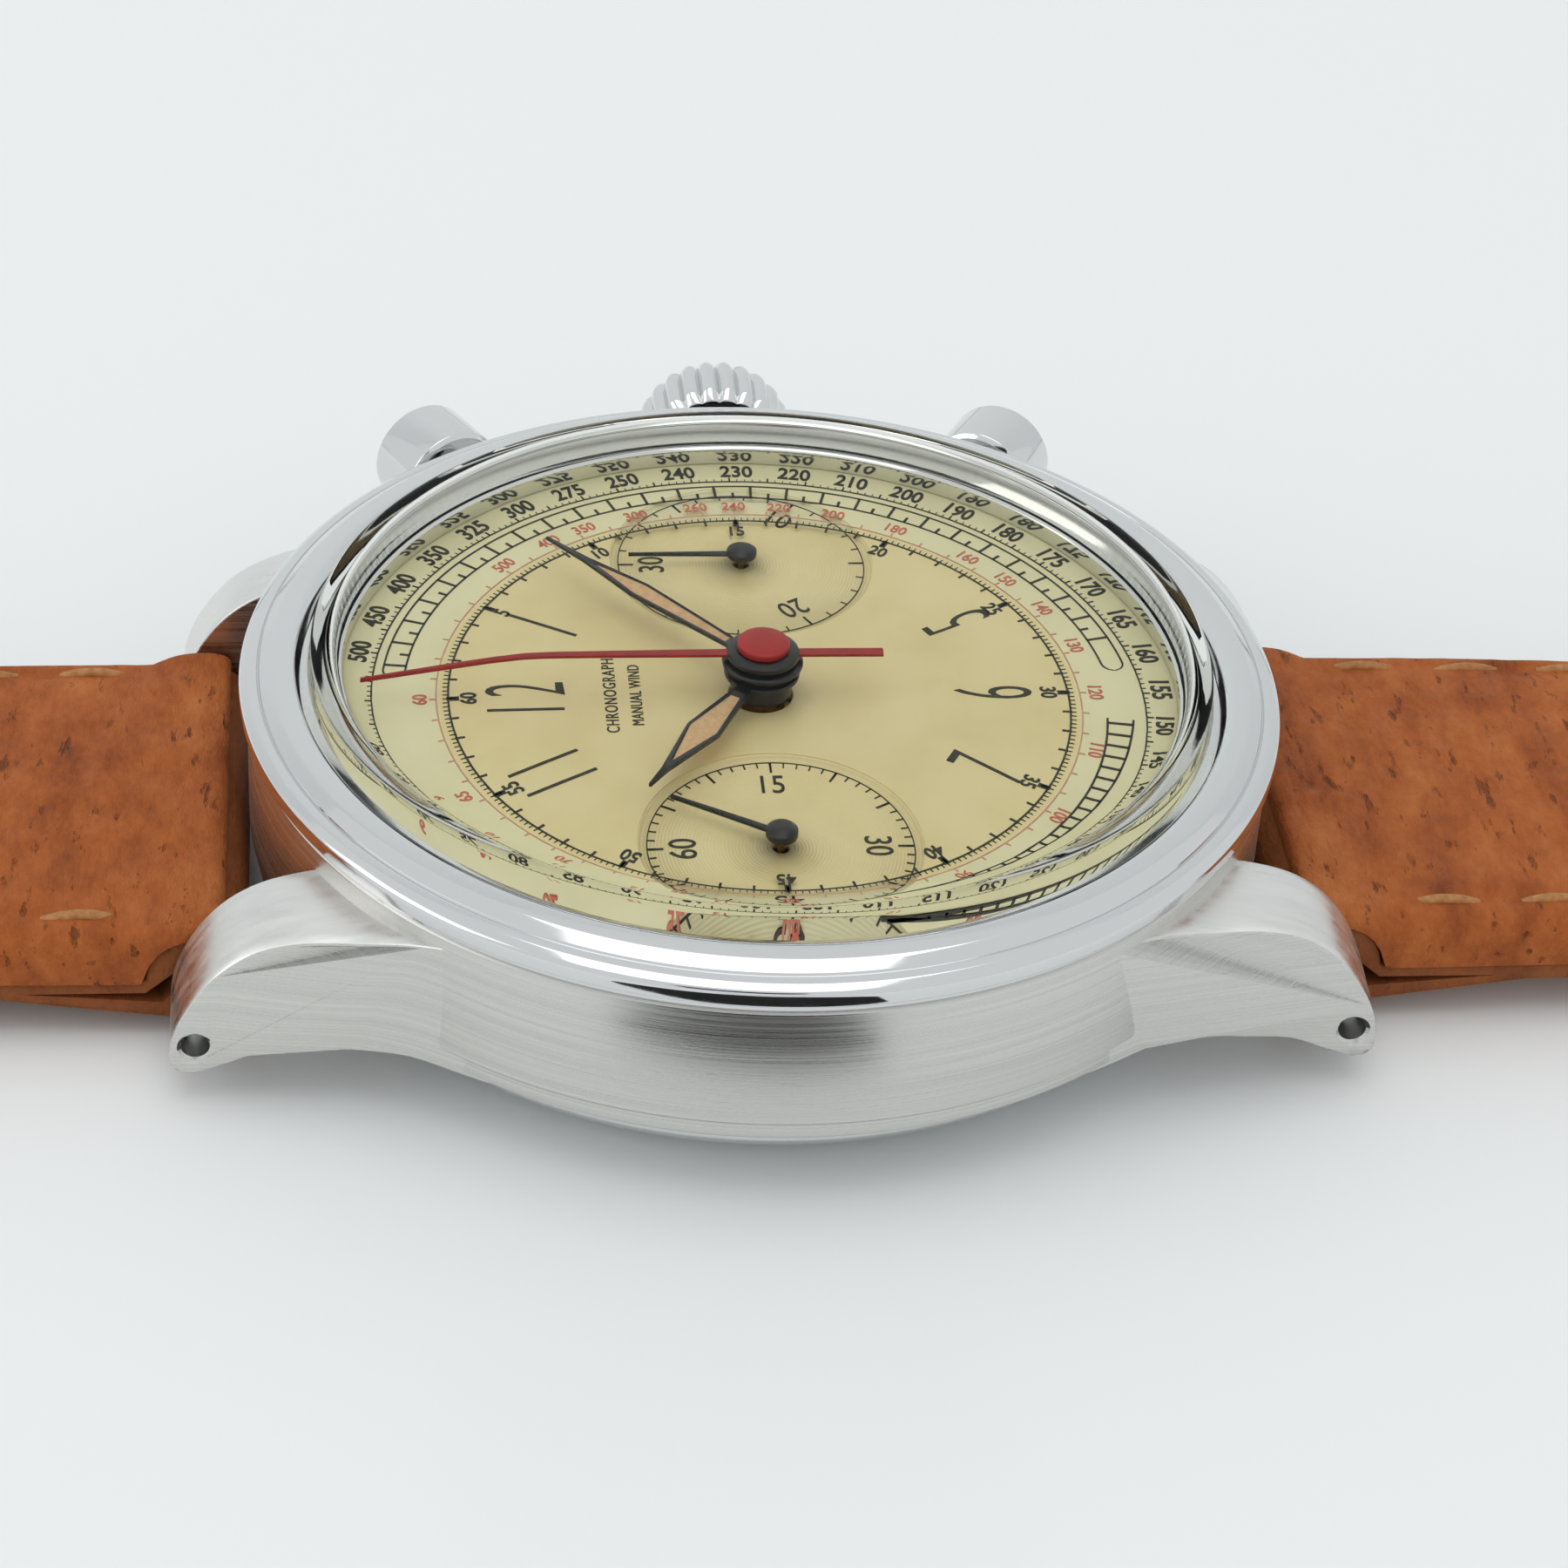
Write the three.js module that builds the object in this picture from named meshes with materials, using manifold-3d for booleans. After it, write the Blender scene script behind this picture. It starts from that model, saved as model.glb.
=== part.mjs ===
// A steel chronograph wristwatch on a leather strap, in millimetres.
// +Z points out of the dial, +Y to 12 o'clock, +X to 3 o'clock and the crown.
// The origin is the centre of the flat case back, on which the watch rests.
import * as THREE from "three";
import { mergeVertices } from "three/addons/utils/BufferGeometryUtils.js";
import Module from "manifold-3d";

const wasm = await Module();
wasm.setup();

// ---- driving dimensions ----
const RUNNING = 0.06; // radial clearance of a turning or sliding fit
const FIT = 0.05; // gap round a fixed piece in its seat
const RIM_Z = 2.3; // underside of the case middle
const GROOVE_Z = 8; // joint between case middle and bezel
const CASE_RADIUS = 18.45;
const CASE_BORE = CASE_RADIUS - 2.7; // radius of the hole through the case middle
const BEZEL_RADIUS = CASE_RADIUS + 0.3;
const BEZEL_HEIGHT = 1.65;
const CRYSTAL_RADIUS = CASE_BORE + 0.45;
const CRYSTAL_WALL = 0.85;
const CRYSTAL_SEAT = GROOVE_Z - 0.3; // ledge that carries the crystal
const CRYSTAL_SHOULDER = GROOVE_Z + 2.05;
const CRYSTAL_TOP = GROOVE_Z + 4;
const LIP_INNER = CRYSTAL_RADIUS + 0.8; // lip of the case middle that grips the bezel
const LIP_OUTER = LIP_INNER + 0.6;
const BACK_RADIUS = CASE_BORE + 1.45;
const BACK_FACE_RADIUS = CASE_BORE - 1.15;
const BACK_FLOOR = 0.8;
const BAR_RADIUS = 0.75; // spring bar
const PIVOT_RADIUS = 0.45;
const BAR_Y = CASE_RADIUS + BAR_RADIUS + 1;
const BAR_Z = 1.9;
const LUG_GAP = 18; // strap room between two lugs
const LUG_THICKNESS = 3.3;
const LUG_SLOPE = 0.15; // how fast the lug top falls outwards
const DIAL_Z = CRYSTAL_SEAT - 0.1;
const DIAL_THICKNESS = 0.4;
const DIAL_RADIUS = CASE_BORE - 0.45;
const SUBDIAL_X = 8.4;
const SUBDIAL_RADIUS = 4.85;
const SUBDIAL_DEPTH = 0.15;
const HOUR_LENGTH = 7.9;
const HOUR_Z = DIAL_Z + 0.8;
const MINUTE_LENGTH = 10.9;
const MINUTE_Z = DIAL_Z + 1.2;
const SWEEP_LENGTH = 14.2;
const SWEEP_TAIL = 4.3;
const SWEEP_Z = DIAL_Z + 1.55;
const SMALL_HAND_LENGTH = 4.2;
const SMALL_HAND_Z = DIAL_Z + 0.25;
const HAND_THICKNESS = 0.15;
const HOUR_ANGLE = 304; // clockwise from 12, degrees
const MINUTE_ANGLE = 48;
const SECONDS_ANGLE = 30;
const PLATE_RADIUS = 14.3; // the movement is a standard size, whatever the case
const PLATE_TOP = DIAL_Z - 1;
const PLATE_BOTTOM = PLATE_TOP - 1.5;
const BRIDGE_BOTTOM = 2.5;
const BRIDGE_TOP = 3.2;
const STEM_Z = PLATE_TOP - 0.3;
const STEM_RADIUS = 0.45;
const CROWN_RADIUS = 3.1;
const CROWN_START = CASE_RADIUS + 0.7;
const CROWN_LENGTH = 3.2;
const CROWN_FLUTES = 24;
const PUSHER_ANGLE = 29.5; // each side of 3 o'clock, degrees
const PUSHER_Z = STEM_Z - 0.65;
const PUSHER_CAP_RADIUS = 2.1;
const PUSHER_ROD_RADIUS = 0.44;
const PUSHER_REACH = CASE_RADIUS + 5.75; // outer end of the cap from the centre
const PUSHER_TRAVEL = 0.9;
const TAB_CENTRE = 14.45; // where a pusher meets its lever, from the centre
const TAB_RADIUS = 0.35;
const ROD_END = TAB_CENTRE + TAB_RADIUS + 0.1;
const STRAP_WIDTH = LUG_GAP - 0.5;
const STRAP_END_WIDTH = STRAP_WIDTH - 1.7;
const STRAP_TOP = BAR_Z + BAR_RADIUS + 1.6;
const STRAP_SIDE = BAR_Z - 0.05; // underside of the padded upper
const STRAP_UNDER = BAR_Z - 0.8; // underside of the lining
const STRAP_START = BAR_Y - 1;
const STRAP_END = BAR_Y + 54.8; // where the strap stops tapering
const BUCKLE_Y = BAR_Y + 74.3;
const TAIL_Y = BAR_Y + 114.8; // pointed end of the strap with the holes
const TAIL_THICKNESS = 2;
const FIRST_HOLE_Y = BAR_Y + 59.8;
const STRAP_HOLES = 7;
const HOLE_PITCH = 6.2;
const HOLE_RADIUS = 0.8;
const LEATHER = 0.6; // one skived layer round a spring bar
const KEEPER_WALL = 0.9;
const KEEPER_LENGTH = 4.2;
const BUCKLE_WIRE = 1.7;
const BUCKLE_DEPTH = 10.5;
const MESH_GAP = 0.35; // extra centre distance of a gear pair, in modules
const ROUND = 40; // facets of a large circle
const SMALL_ROUND = 16;

// ---- gear train: tooth counts and modules ----
const CENTRE = { teeth: 48, module: 0.2 };
const THIRD = { teeth: 45, module: 0.16, leaves: 6 };
const FOURTH = { teeth: 40, module: 0.14, leaves: 6 };
const ESCAPE = { teeth: 15, radius: 1.9, leaves: 6 };
const BARREL = { teeth: 56, module: 0.17, leaves: 7 };
const CANNON = { leaves: 12, module: 0.14 };
const MINUTE_WHEEL = { teeth: 36, leaves: 10 };
const HOUR_WHEEL = { teeth: 40 };
const RUNNER = { teeth: 48, module: 0.125 };
const RECORDER_TEETH = 30;
const RATCHET_TEETH = 30;
const CROWN_WHEEL_TEETH = 20;
const RATCHET_MODULE = 0.22;
const BALANCE_RADIUS = 3.4;

const rad = THREE.MathUtils.degToRad;
const distance = (gear, pinion) => gear.module * ((gear.teeth + pinion) / 2 + MESH_GAP);

// ---- finishes ----
const finish = (color, roughness, metalness) =>
  new THREE.MeshStandardMaterial({ color, roughness, metalness });
const steel = finish(0xc9cbcc, 0.25, 1);
const brushed = finish(0xb4b5b3, 0.4, 1);
const brass = finish(0xc9a24a, 0.35, 1);
const nickel = finish(0xbcb9ae, 0.35, 1);
const cream = finish(0xcfc59a, 0.6, 0);
const black = finish(0x16161a, 0.4, 0.2);
const red = finish(0xa83228, 0.4, 0.1);
const clear = finish(0xf4f6f4, 0.05, 0);
clear.transparent = true;
clear.opacity = 0.3;
const leather = finish(0x96542f, 0.75, 0);
const lining = finish(0xb98a5c, 0.8, 0);
const rubber = finish(0x2a2a2c, 0.8, 0);
const ruby = finish(0xb02848, 0.2, 0);

// ---- shape helpers ----
const watch = new THREE.Group();

function addPart(name, geometry, material, x = 0, y = 0, z = 0, turn = 0) {
  const mesh = new THREE.Mesh(geometry, material);
  mesh.name = name;
  mesh.position.set(x, y, z);
  mesh.rotation.z = turn;
  watch.add(mesh);
  return mesh;
}

// A profile of [radius, height] pairs turned about Z, anticlockwise in that plane.
function turned(points, segments = SMALL_ROUND) {
  const profile = points.map(([r, z]) => new THREE.Vector2(r, z));
  return new THREE.LatheGeometry(profile, segments).rotateX(Math.PI / 2);
}

const ring = (points, segments = ROUND) => turned([...points, points[0]], segments);

function disc(radius, low, high, segments = SMALL_ROUND) {
  return turned([[0, low], [radius, low], [radius, high], [0, high]], segments);
}

function tube(outer, inner, low, high, segments = SMALL_ROUND) {
  return ring([[inner, low], [outer, low], [outer, high], [inner, high]], segments);
}

function plate(shape, low, high) {
  const options = { depth: high - low, bevelEnabled: false, curveSegments: 6 };
  return new THREE.ExtrudeGeometry(shape, options).translate(0, 0, low);
}

const outline = (points) => new THREE.Shape(points.map(([x, y]) => new THREE.Vector2(x, y)));

// A side profile in [y, z], extruded across X.
const ACROSS = new THREE.Matrix4().makeBasis(
  new THREE.Vector3(0, 1, 0),
  new THREE.Vector3(0, 0, 1),
  new THREE.Vector3(1, 0, 0),
);
function acrossX(shape, left, right) {
  const geometry = new THREE.ExtrudeGeometry(shape, { depth: right - left, bevelEnabled: false });
  return geometry.applyMatrix4(ACROSS).translate(left, 0, 0);
}
const slab = (points, left, right) => acrossX(outline(points), left, right);

function block(x0, x1, y0, y1, z0, z1) {
  const geometry = new THREE.BoxGeometry(x1 - x0, y1 - y0, z1 - z0);
  return geometry.translate((x0 + x1) / 2, (y0 + y1) / 2, (z0 + z1) / 2);
}

// Turns geometry made along Z so that it runs along +X.
const alongX = (geometry) => geometry.rotateY(Math.PI / 2);

function solid(geometry) {
  const bare = geometry.clone();
  bare.deleteAttribute("normal");
  bare.deleteAttribute("uv");
  const merged = mergeVertices(bare, 1e-4);
  const vertProperties = merged.attributes.position.array;
  const triVerts = new Uint32Array(merged.index.array);
  return new wasm.Manifold(new wasm.Mesh({ numProp: 3, vertProperties, triVerts }));
}

function geometryOf(body) {
  const { vertProperties, triVerts, numProp } = body.getMesh();
  const geometry = new THREE.BufferGeometry();
  const points = new THREE.BufferAttribute(new Float32Array(vertProperties), numProp);
  geometry.setAttribute("position", points);
  geometry.setIndex(new THREE.BufferAttribute(new Uint32Array(triVerts), 1));
  geometry.computeVertexNormals();
  return geometry;
}

const join = (first, ...rest) =>
  geometryOf(rest.reduce((body, next) => body.add(solid(next)), solid(first)));
const cut = (first, ...rest) =>
  geometryOf(rest.reduce((body, next) => body.subtract(solid(next)), solid(first)));
const common = (first, second) => geometryOf(solid(first).intersect(solid(second)));

// A flat gear about Z with pointed teeth, one of them at the phase angle from +X.
function gear({ teeth, module }, low, high, bore = 0, phase = 0) {
  const pitch = (module * teeth) / 2;
  const points = [];
  for (let i = 0; i < teeth; i += 1) {
    const angle = (i * 2 * Math.PI) / teeth;
    const half = Math.PI / teeth;
    const tip = pitch + 0.7 * module;
    const root = pitch - 0.9 * module;
    points.push([tip * Math.cos(angle), tip * Math.sin(angle)]);
    points.push([root * Math.cos(angle + half), root * Math.sin(angle + half)]);
  }
  const shape = outline(points);
  if (bore) shape.holes.push(new THREE.Path().absarc(0, 0, bore, 0, 2 * Math.PI, true));
  return plate(shape, low, high).rotateZ(phase);
}

// Angle of a follower that puts a gap opposite the driver's tooth.
const inMesh = (direction, teeth) => direction + Math.PI + Math.PI / teeth;

// ---- case ----
function lug(side, end) {
  const root = CASE_RADIUS * 0.54;
  // Length along the lug, height of its inner edge, height of its outer edge, outer face.
  const outer = LUG_GAP / 2 + LUG_THICKNESS;
  const fall = LUG_SLOPE * LUG_THICKNESS;
  const edges = [
    [root, GROOVE_Z - 0.1, GROOVE_Z - 0.1, outer + 2.9],
    [root + 1.5, GROOVE_Z - 0.25, GROOVE_Z - 0.45, outer + 2.05],
    [root + 3, GROOVE_Z - 0.6, GROOVE_Z - 0.9, outer + 1.15],
    [root + 4.6, GROOVE_Z - 0.9, GROOVE_Z - 1.3, outer + 0.55],
    [root + 6.4, GROOVE_Z - 1.05, GROOVE_Z - 1.5, outer + 0.15],
    ...[[-2.3, 4.6], [-1.1, 3.85], [-0.2, 2.85], [0.5, 1.6], [0.85, 0.4], [0.85, -0.7],
      [0.55, -1.05], [0.1, -1.05], [-1, -0.55], [-2.2, -0.05],
    ].map(([y, z]) => [BAR_Y + y, BAR_Z + z, BAR_Z + z - fall, outer]),
    [root + 6.4, RIM_Z - 0.2, RIM_Z - 0.2 - fall, outer + 0.15],
    [root + 3, RIM_Z, RIM_Z, outer + 1.15],
    [root + 1.5, RIM_Z, RIM_Z, outer + 2.05],
    [root, RIM_Z, RIM_Z, outer + 2.9],
  ];
  const profile = edges.map(([y, z]) => [end * y, z]);
  const geometry = side > 0 ? slab(profile, 0, 1) : slab(profile, -1, 0);
  const points = geometry.attributes.position;
  for (let i = 0; i < points.count; i += 1) {
    const [x, y, z] = [points.getX(i), points.getY(i), points.getZ(i)];
    const edge = edges.find((e) => Math.hypot(end * e[0] - y, e[1] - z) < 1e-4);
    if (Math.abs(x) > 0.5) points.setXYZ(i, side * edge[3], y, edge[2]);
    else points.setX(i, (side * LUG_GAP) / 2);
  }
  return geometry;
}

const CORNERS = [[1, 1], [1, -1], [-1, 1], [-1, -1]];
const bodyRing = ring([
  [CASE_BORE, RIM_Z], [CASE_RADIUS - 0.35, RIM_Z], [CASE_RADIUS - 0.15, RIM_Z + 0.2],
  [CASE_RADIUS - 0.15, RIM_Z + 0.75], [CASE_RADIUS, RIM_Z + 0.9],
  [CASE_RADIUS, GROOVE_Z - 0.15], [CASE_RADIUS - 0.2, GROOVE_Z],
  [LIP_OUTER - FIT, GROOVE_Z], [LIP_OUTER - FIT, GROOVE_Z + 0.7], [LIP_INNER, GROOVE_Z + 0.7],
  [LIP_INNER, GROOVE_Z], [CRYSTAL_RADIUS + FIT, GROOVE_Z],
  [CRYSTAL_RADIUS + FIT, CRYSTAL_SEAT], [CASE_BORE, CRYSTAL_SEAT],
]);
const boreBlank = disc(CASE_BORE, 0, GROOVE_Z + 1, ROUND);
const seatBlank = disc(CRYSTAL_RADIUS + FIT, CRYSTAL_SEAT, GROOVE_Z + 1, ROUND);
const radial = (geometry, z, degrees) =>
  alongX(geometry).translate(0, 0, z).rotateZ(rad(degrees));
const crownTubeHole = radial(disc(1.3, CASE_BORE - 1, CASE_RADIUS + 3), STEM_Z, 0);
const pusherHoles = [PUSHER_ANGLE, -PUSHER_ANGLE].map((a) =>
  radial(disc(1.15, CASE_BORE - 1, CASE_RADIUS + 3), PUSHER_Z, a),
);
const lugOuter = LUG_GAP / 2 + LUG_THICKNESS;
const barHoles = [BAR_Y, -BAR_Y].map((y) =>
  alongX(disc(PIVOT_RADIUS + FIT, -lugOuter - 2, lugOuter + 2)).translate(0, y, BAR_Z),
);
const backRecess = disc(BACK_RADIUS + FIT, -1, RIM_Z, ROUND);
const groove = [CASE_BORE + 0.25, CASE_BORE + 1.05];
const gasketGroove = tube(groove[1], groove[0], 1, RIM_Z + 0.45, ROUND);
const caseBlank = join(bodyRing, ...CORNERS.map(([side, end]) => lug(side, end)));
const caseMiddle = cut(
  caseBlank, boreBlank, seatBlank, crownTubeHole, ...pusherHoles, ...barHoles, gasketGroove, backRecess,
);
addPart("case_middle", caseMiddle, brushed);

addPart("bezel", ring([
  [CRYSTAL_RADIUS + FIT, GROOVE_Z], [LIP_INNER - FIT, GROOVE_Z], [LIP_INNER - FIT, GROOVE_Z + 0.75],
  [LIP_OUTER, GROOVE_Z + 0.75], [LIP_OUTER, GROOVE_Z], [BEZEL_RADIUS - 0.25, GROOVE_Z],
  [BEZEL_RADIUS - 0.25, GROOVE_Z + 0.2], [BEZEL_RADIUS, GROOVE_Z + 0.35],
  [BEZEL_RADIUS, GROOVE_Z + BEZEL_HEIGHT - 0.3], [BEZEL_RADIUS - 0.12, GROOVE_Z + BEZEL_HEIGHT - 0.1],
  [BEZEL_RADIUS - 0.35, GROOVE_Z + BEZEL_HEIGHT], [LIP_INNER, GROOVE_Z + BEZEL_HEIGHT],
  [CRYSTAL_RADIUS + FIT, GROOVE_Z + 1.2],
]), steel);

const domeSteps = 5;
const dome = (radius, shoulder, top) =>
  Array.from({ length: domeSteps + 1 }, (_, i) => {
    const angle = (i * Math.PI) / (2 * domeSteps);
    return [radius * Math.cos(angle), shoulder + (top - shoulder) * Math.sin(angle)];
  });
const crystalInner = CRYSTAL_RADIUS - CRYSTAL_WALL;
addPart("crystal", turned([
  [0, CRYSTAL_TOP - 1.2],
  ...dome(crystalInner, CRYSTAL_SHOULDER, CRYSTAL_TOP - 1.2).slice(0, -1).reverse(),
  [crystalInner, CRYSTAL_SEAT], [CRYSTAL_RADIUS, CRYSTAL_SEAT],
  ...dome(CRYSTAL_RADIUS, CRYSTAL_SHOULDER, CRYSTAL_TOP).slice(0, -1), [0, CRYSTAL_TOP],
], ROUND), clear);

addPart("tension_ring", ring([
  [crystalInner - 0.35, DIAL_Z], [crystalInner - FIT, DIAL_Z],
  [crystalInner - FIT, DIAL_Z + 0.8], [crystalInner - 0.3, DIAL_Z + 0.8],
]), steel);

addPart("case_back", turned([
  [0, 0], [BACK_FACE_RADIUS, 0], [BACK_RADIUS - 0.4, 0.9], [BACK_RADIUS, 1.4], [BACK_RADIUS, RIM_Z],
  [CASE_BORE - FIT, RIM_Z], [CASE_BORE - FIT, RIM_Z + 0.8], [CASE_BORE - 0.75, RIM_Z + 0.8],
  [CASE_BORE - 0.75, BACK_FLOOR], [0, BACK_FLOOR],
], ROUND), steel);
addPart("back_gasket", tube(groove[1] - 0.1, groove[0] + 0.1, RIM_Z, RIM_Z + 0.4, ROUND), rubber);

// ---- pushers ----
const sleeveEnd = CASE_RADIUS + 1.75;
function pusher(name, degrees) {
  const bore = PUSHER_ROD_RADIUS + RUNNING;
  const sleeve = cut(disc(1.1, CASE_BORE + 0.85, sleeveEnd), disc(bore, CASE_BORE, sleeveEnd + 1));
  addPart(`${name}_tube`, radial(sleeve, PUSHER_Z, degrees), steel);
  const capStart = sleeveEnd + PUSHER_TRAVEL + 0.1;
  const rod = PUSHER_ROD_RADIUS;
  const profile = [
    [0, ROD_END], [rod, ROD_END], [rod, capStart], [PUSHER_CAP_RADIUS - 0.15, capStart],
    [PUSHER_CAP_RADIUS, capStart + 0.15], [PUSHER_CAP_RADIUS, PUSHER_REACH - 0.3],
    [PUSHER_CAP_RADIUS - 0.3, PUSHER_REACH], [0, PUSHER_REACH],
  ];
  addPart(`${name}_pusher`, radial(turned(profile, 24), PUSHER_Z, degrees), steel);
}
pusher("start_stop", PUSHER_ANGLE);
pusher("reset", -PUSHER_ANGLE);

// ---- crown and keyless work ----
const crownTube = cut(
  disc(1.25, CASE_BORE + 0.15, CROWN_START - 0.1),
  disc(STEM_RADIUS + RUNNING, CASE_BORE - 1, CROWN_START + 1),
);
addPart("crown_tube", radial(crownTube, STEM_Z, 0), steel);
const crownEnd = CROWN_START + CROWN_LENGTH;
function fluted(radius, depth, count) {
  const points = [];
  const pitch = (2 * Math.PI) / count;
  for (let i = 0; i < count; i += 1)
    for (const [r, share] of [[radius, -0.25], [radius, 0.25], [radius - depth, 0.5]])
      points.push([r * Math.cos((i + share) * pitch), r * Math.sin((i + share) * pitch)]);
  return outline(points);
}
const crownProfile = [
  [0, CROWN_START], [CROWN_RADIUS - 0.4, CROWN_START], [CROWN_RADIUS + 0.1, CROWN_START + 0.5],
  [CROWN_RADIUS + 0.1, crownEnd - 0.6], [CROWN_RADIUS - 0.7, crownEnd], [0, crownEnd],
];
const crownCap = common(
  plate(fluted(CROWN_RADIUS, 0.25, CROWN_FLUTES), CROWN_START, crownEnd),
  turned(crownProfile, 24),
);
addPart("crown", radial(crownCap, STEM_Z, 0), steel);
const stemInner = 10.4;
const clutchX = 11.2;
addPart("winding_stem", radial(disc(STEM_RADIUS, stemInner, CROWN_START), STEM_Z, 0), steel);
const clutch = cut(disc(0.62, clutchX, clutchX + 1.2), disc(STEM_RADIUS + FIT, 10, 13));
addPart("winding_pinion", radial(clutch, STEM_Z, 0), steel);
addPart("setting_yoke", cut(
  block(13.1, 13.5, -0.68, 0.68, STEM_Z - 0.68, STEM_Z + 0.65),
  alongX(disc(STEM_RADIUS + RUNNING, 13, 14)).translate(0, 0, STEM_Z),
), steel);

// ---- dial ----
const dialBlank = disc(DIAL_RADIUS, DIAL_Z - DIAL_THICKNESS, DIAL_Z, ROUND);
const recess = (x) =>
  disc(SUBDIAL_RADIUS, DIAL_Z - SUBDIAL_DEPTH, DIAL_Z + 1, 24).translate(x, 0, 0);
const arborHole = (x, radius) => disc(radius, 0, DIAL_Z + 1).translate(x, 0, 0);
addPart("dial", cut(
  dialBlank, recess(-SUBDIAL_X), recess(SUBDIAL_X),
  arborHole(0, 1.15), arborHole(-SUBDIAL_X, 0.3), arborHole(SUBDIAL_X, 0.3),
), cream);

// ---- hands, each drawn towards +Y about its own arbor ----
const clockwise = (degrees) => -rad(degrees);
const eye = (radius, bore, low, high) => tube(radius, bore, low, high, 20);

// The outline of a hand with a diamond blade; half widths at the root and the widest point.
function blade(length, start, root, wide, widest) {
  return outline([
    [-root, start], [root, start], [wide, widest], [0.06, length], [-0.06, length], [-wide, widest],
  ]);
}
const hourHand = join(
  eye(1.35, 0.95, HOUR_Z, HOUR_Z + HAND_THICKNESS), eye(1.1, 0.95, DIAL_Z + 0.15, HOUR_Z + 0.05),
  plate(blade(HOUR_LENGTH, 1.2, 0.28, 0.65, 4.2), HOUR_Z, HOUR_Z + HAND_THICKNESS),
);
const minuteHand = join(
  eye(1.45, 0.6, MINUTE_Z, MINUTE_Z + HAND_THICKNESS),
  plate(blade(MINUTE_LENGTH, 1, 0.25, 0.46, 6.1), MINUTE_Z, MINUTE_Z + HAND_THICKNESS),
);
addPart("hour_hand", hourHand, black, 0, 0, 0, clockwise(HOUR_ANGLE));
addPart("minute_hand", minuteHand, black, 0, 0, 0, clockwise(MINUTE_ANGLE));

const sweepTipZ = DIAL_Z + 0.75;
const sweepBend = 8.5;
const hubRadius = 1.3;
const sweepSide = [
  [-SWEEP_TAIL, SWEEP_Z], [sweepBend, SWEEP_Z], [SWEEP_LENGTH, sweepTipZ],
  [SWEEP_LENGTH, sweepTipZ + HAND_THICKNESS], [sweepBend, SWEEP_Z + HAND_THICKNESS],
  [-SWEEP_TAIL, SWEEP_Z + HAND_THICKNESS],
];
const sweepPlan = outline([
  [-0.2, -SWEEP_TAIL], [0.2, -SWEEP_TAIL], [0.2, 0], [0.06, SWEEP_LENGTH],
  [-0.06, SWEEP_LENGTH], [-0.2, 0],
]);
const sweepArm = common(slab(sweepSide, -1, 1), plate(sweepPlan, DIAL_Z, SWEEP_Z + 1));
addPart("chronograph_hand", join(
  sweepArm, disc(hubRadius, SWEEP_Z - 0.05, SWEEP_Z + 0.3, 24),
  disc(hubRadius - 0.2, SWEEP_Z, SWEEP_Z + 0.6, 24),
), red);

function smallHand(name, x, degrees) {
  const top = SMALL_HAND_Z + HAND_THICKNESS;
  const plan = outline([[-0.14, -0.3], [0.14, -0.3], [0.05, SMALL_HAND_LENGTH],
    [-0.05, SMALL_HAND_LENGTH]]);
  const arm = plate(plan, SMALL_HAND_Z, top);
  const hub = disc(0.5, SMALL_HAND_Z - 0.02, top + 0.2, 20);
  addPart(name, join(arm, hub), black, x, 0, 0, clockwise(degrees));
}
smallHand("running_seconds_hand", -SUBDIAL_X, SECONDS_ANGLE);
smallHand("minute_register_hand", SUBDIAL_X, 0);

// ---- where the arbors stand ----
const at = (from, direction, length) => [
  from[0] + length * Math.cos(direction),
  from[1] + length * Math.sin(direction),
];
const fourthAt = [-SUBDIAL_X, 0];
const centreToThird = distance(CENTRE, THIRD.leaves);
const thirdToFourth = distance(THIRD, FOURTH.leaves);
const cosine =
  (centreToThird ** 2 + SUBDIAL_X ** 2 - thirdToFourth ** 2) / (2 * centreToThird * SUBDIAL_X);
const thirdAngle = Math.PI + Math.acos(cosine);
const thirdAt = at([0, 0], thirdAngle, centreToThird);
const fourthAngle = Math.atan2(fourthAt[1] - thirdAt[1], fourthAt[0] - thirdAt[0]);
const barrelAngle = rad(62);
const barrelAt = at([0, 0], barrelAngle, distance(BARREL, BARREL.leaves));
const escapeAngle = rad(-105);
const escapeAt = at(fourthAt, escapeAngle, distance(FOURTH, ESCAPE.leaves));
const balanceAt = [5.15 - SUBDIAL_X, -9.6];
const forkAngle = Math.atan2(balanceAt[1] - escapeAt[1], balanceAt[0] - escapeAt[0]);
const forkAt = at(escapeAt, forkAngle, ESCAPE.radius + 1.3);

// ---- going train ----
const onPlate = PLATE_TOP + 0.05;
const underPlate = PLATE_BOTTOM - 0.05;
const small = (teeth, module) => ({ teeth, module });

addPart("mainspring_barrel", join(
  gear(BARREL, 3.45, 3.85, 0.5 + RUNNING, barrelAngle + Math.PI),
  tube(4.3, 0.5 + RUNNING, 3.3, 4.1, 24),
), brass, ...barrelAt);
addPart("centre_wheel", join(
  gear(CENTRE, 4.25, 4.5, 0.28, thirdAngle),
  gear(small(BARREL.leaves, BARREL.module), 3.35, 4.3, 0.28,
    inMesh(barrelAngle + Math.PI, BARREL.leaves)),
  tube(0.42, 0.28, 4.2, onPlate, 12),
), brass);
addPart("third_wheel", join(
  gear(THIRD, 3.6, 3.8, 0, fourthAngle),
  gear(small(THIRD.leaves, CENTRE.module), 3.75, 4.6, 0, inMesh(thirdAngle, THIRD.leaves)),
  disc(0.12, BRIDGE_TOP + 0.05, underPlate, 8),
), brass, ...thirdAt);
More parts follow.
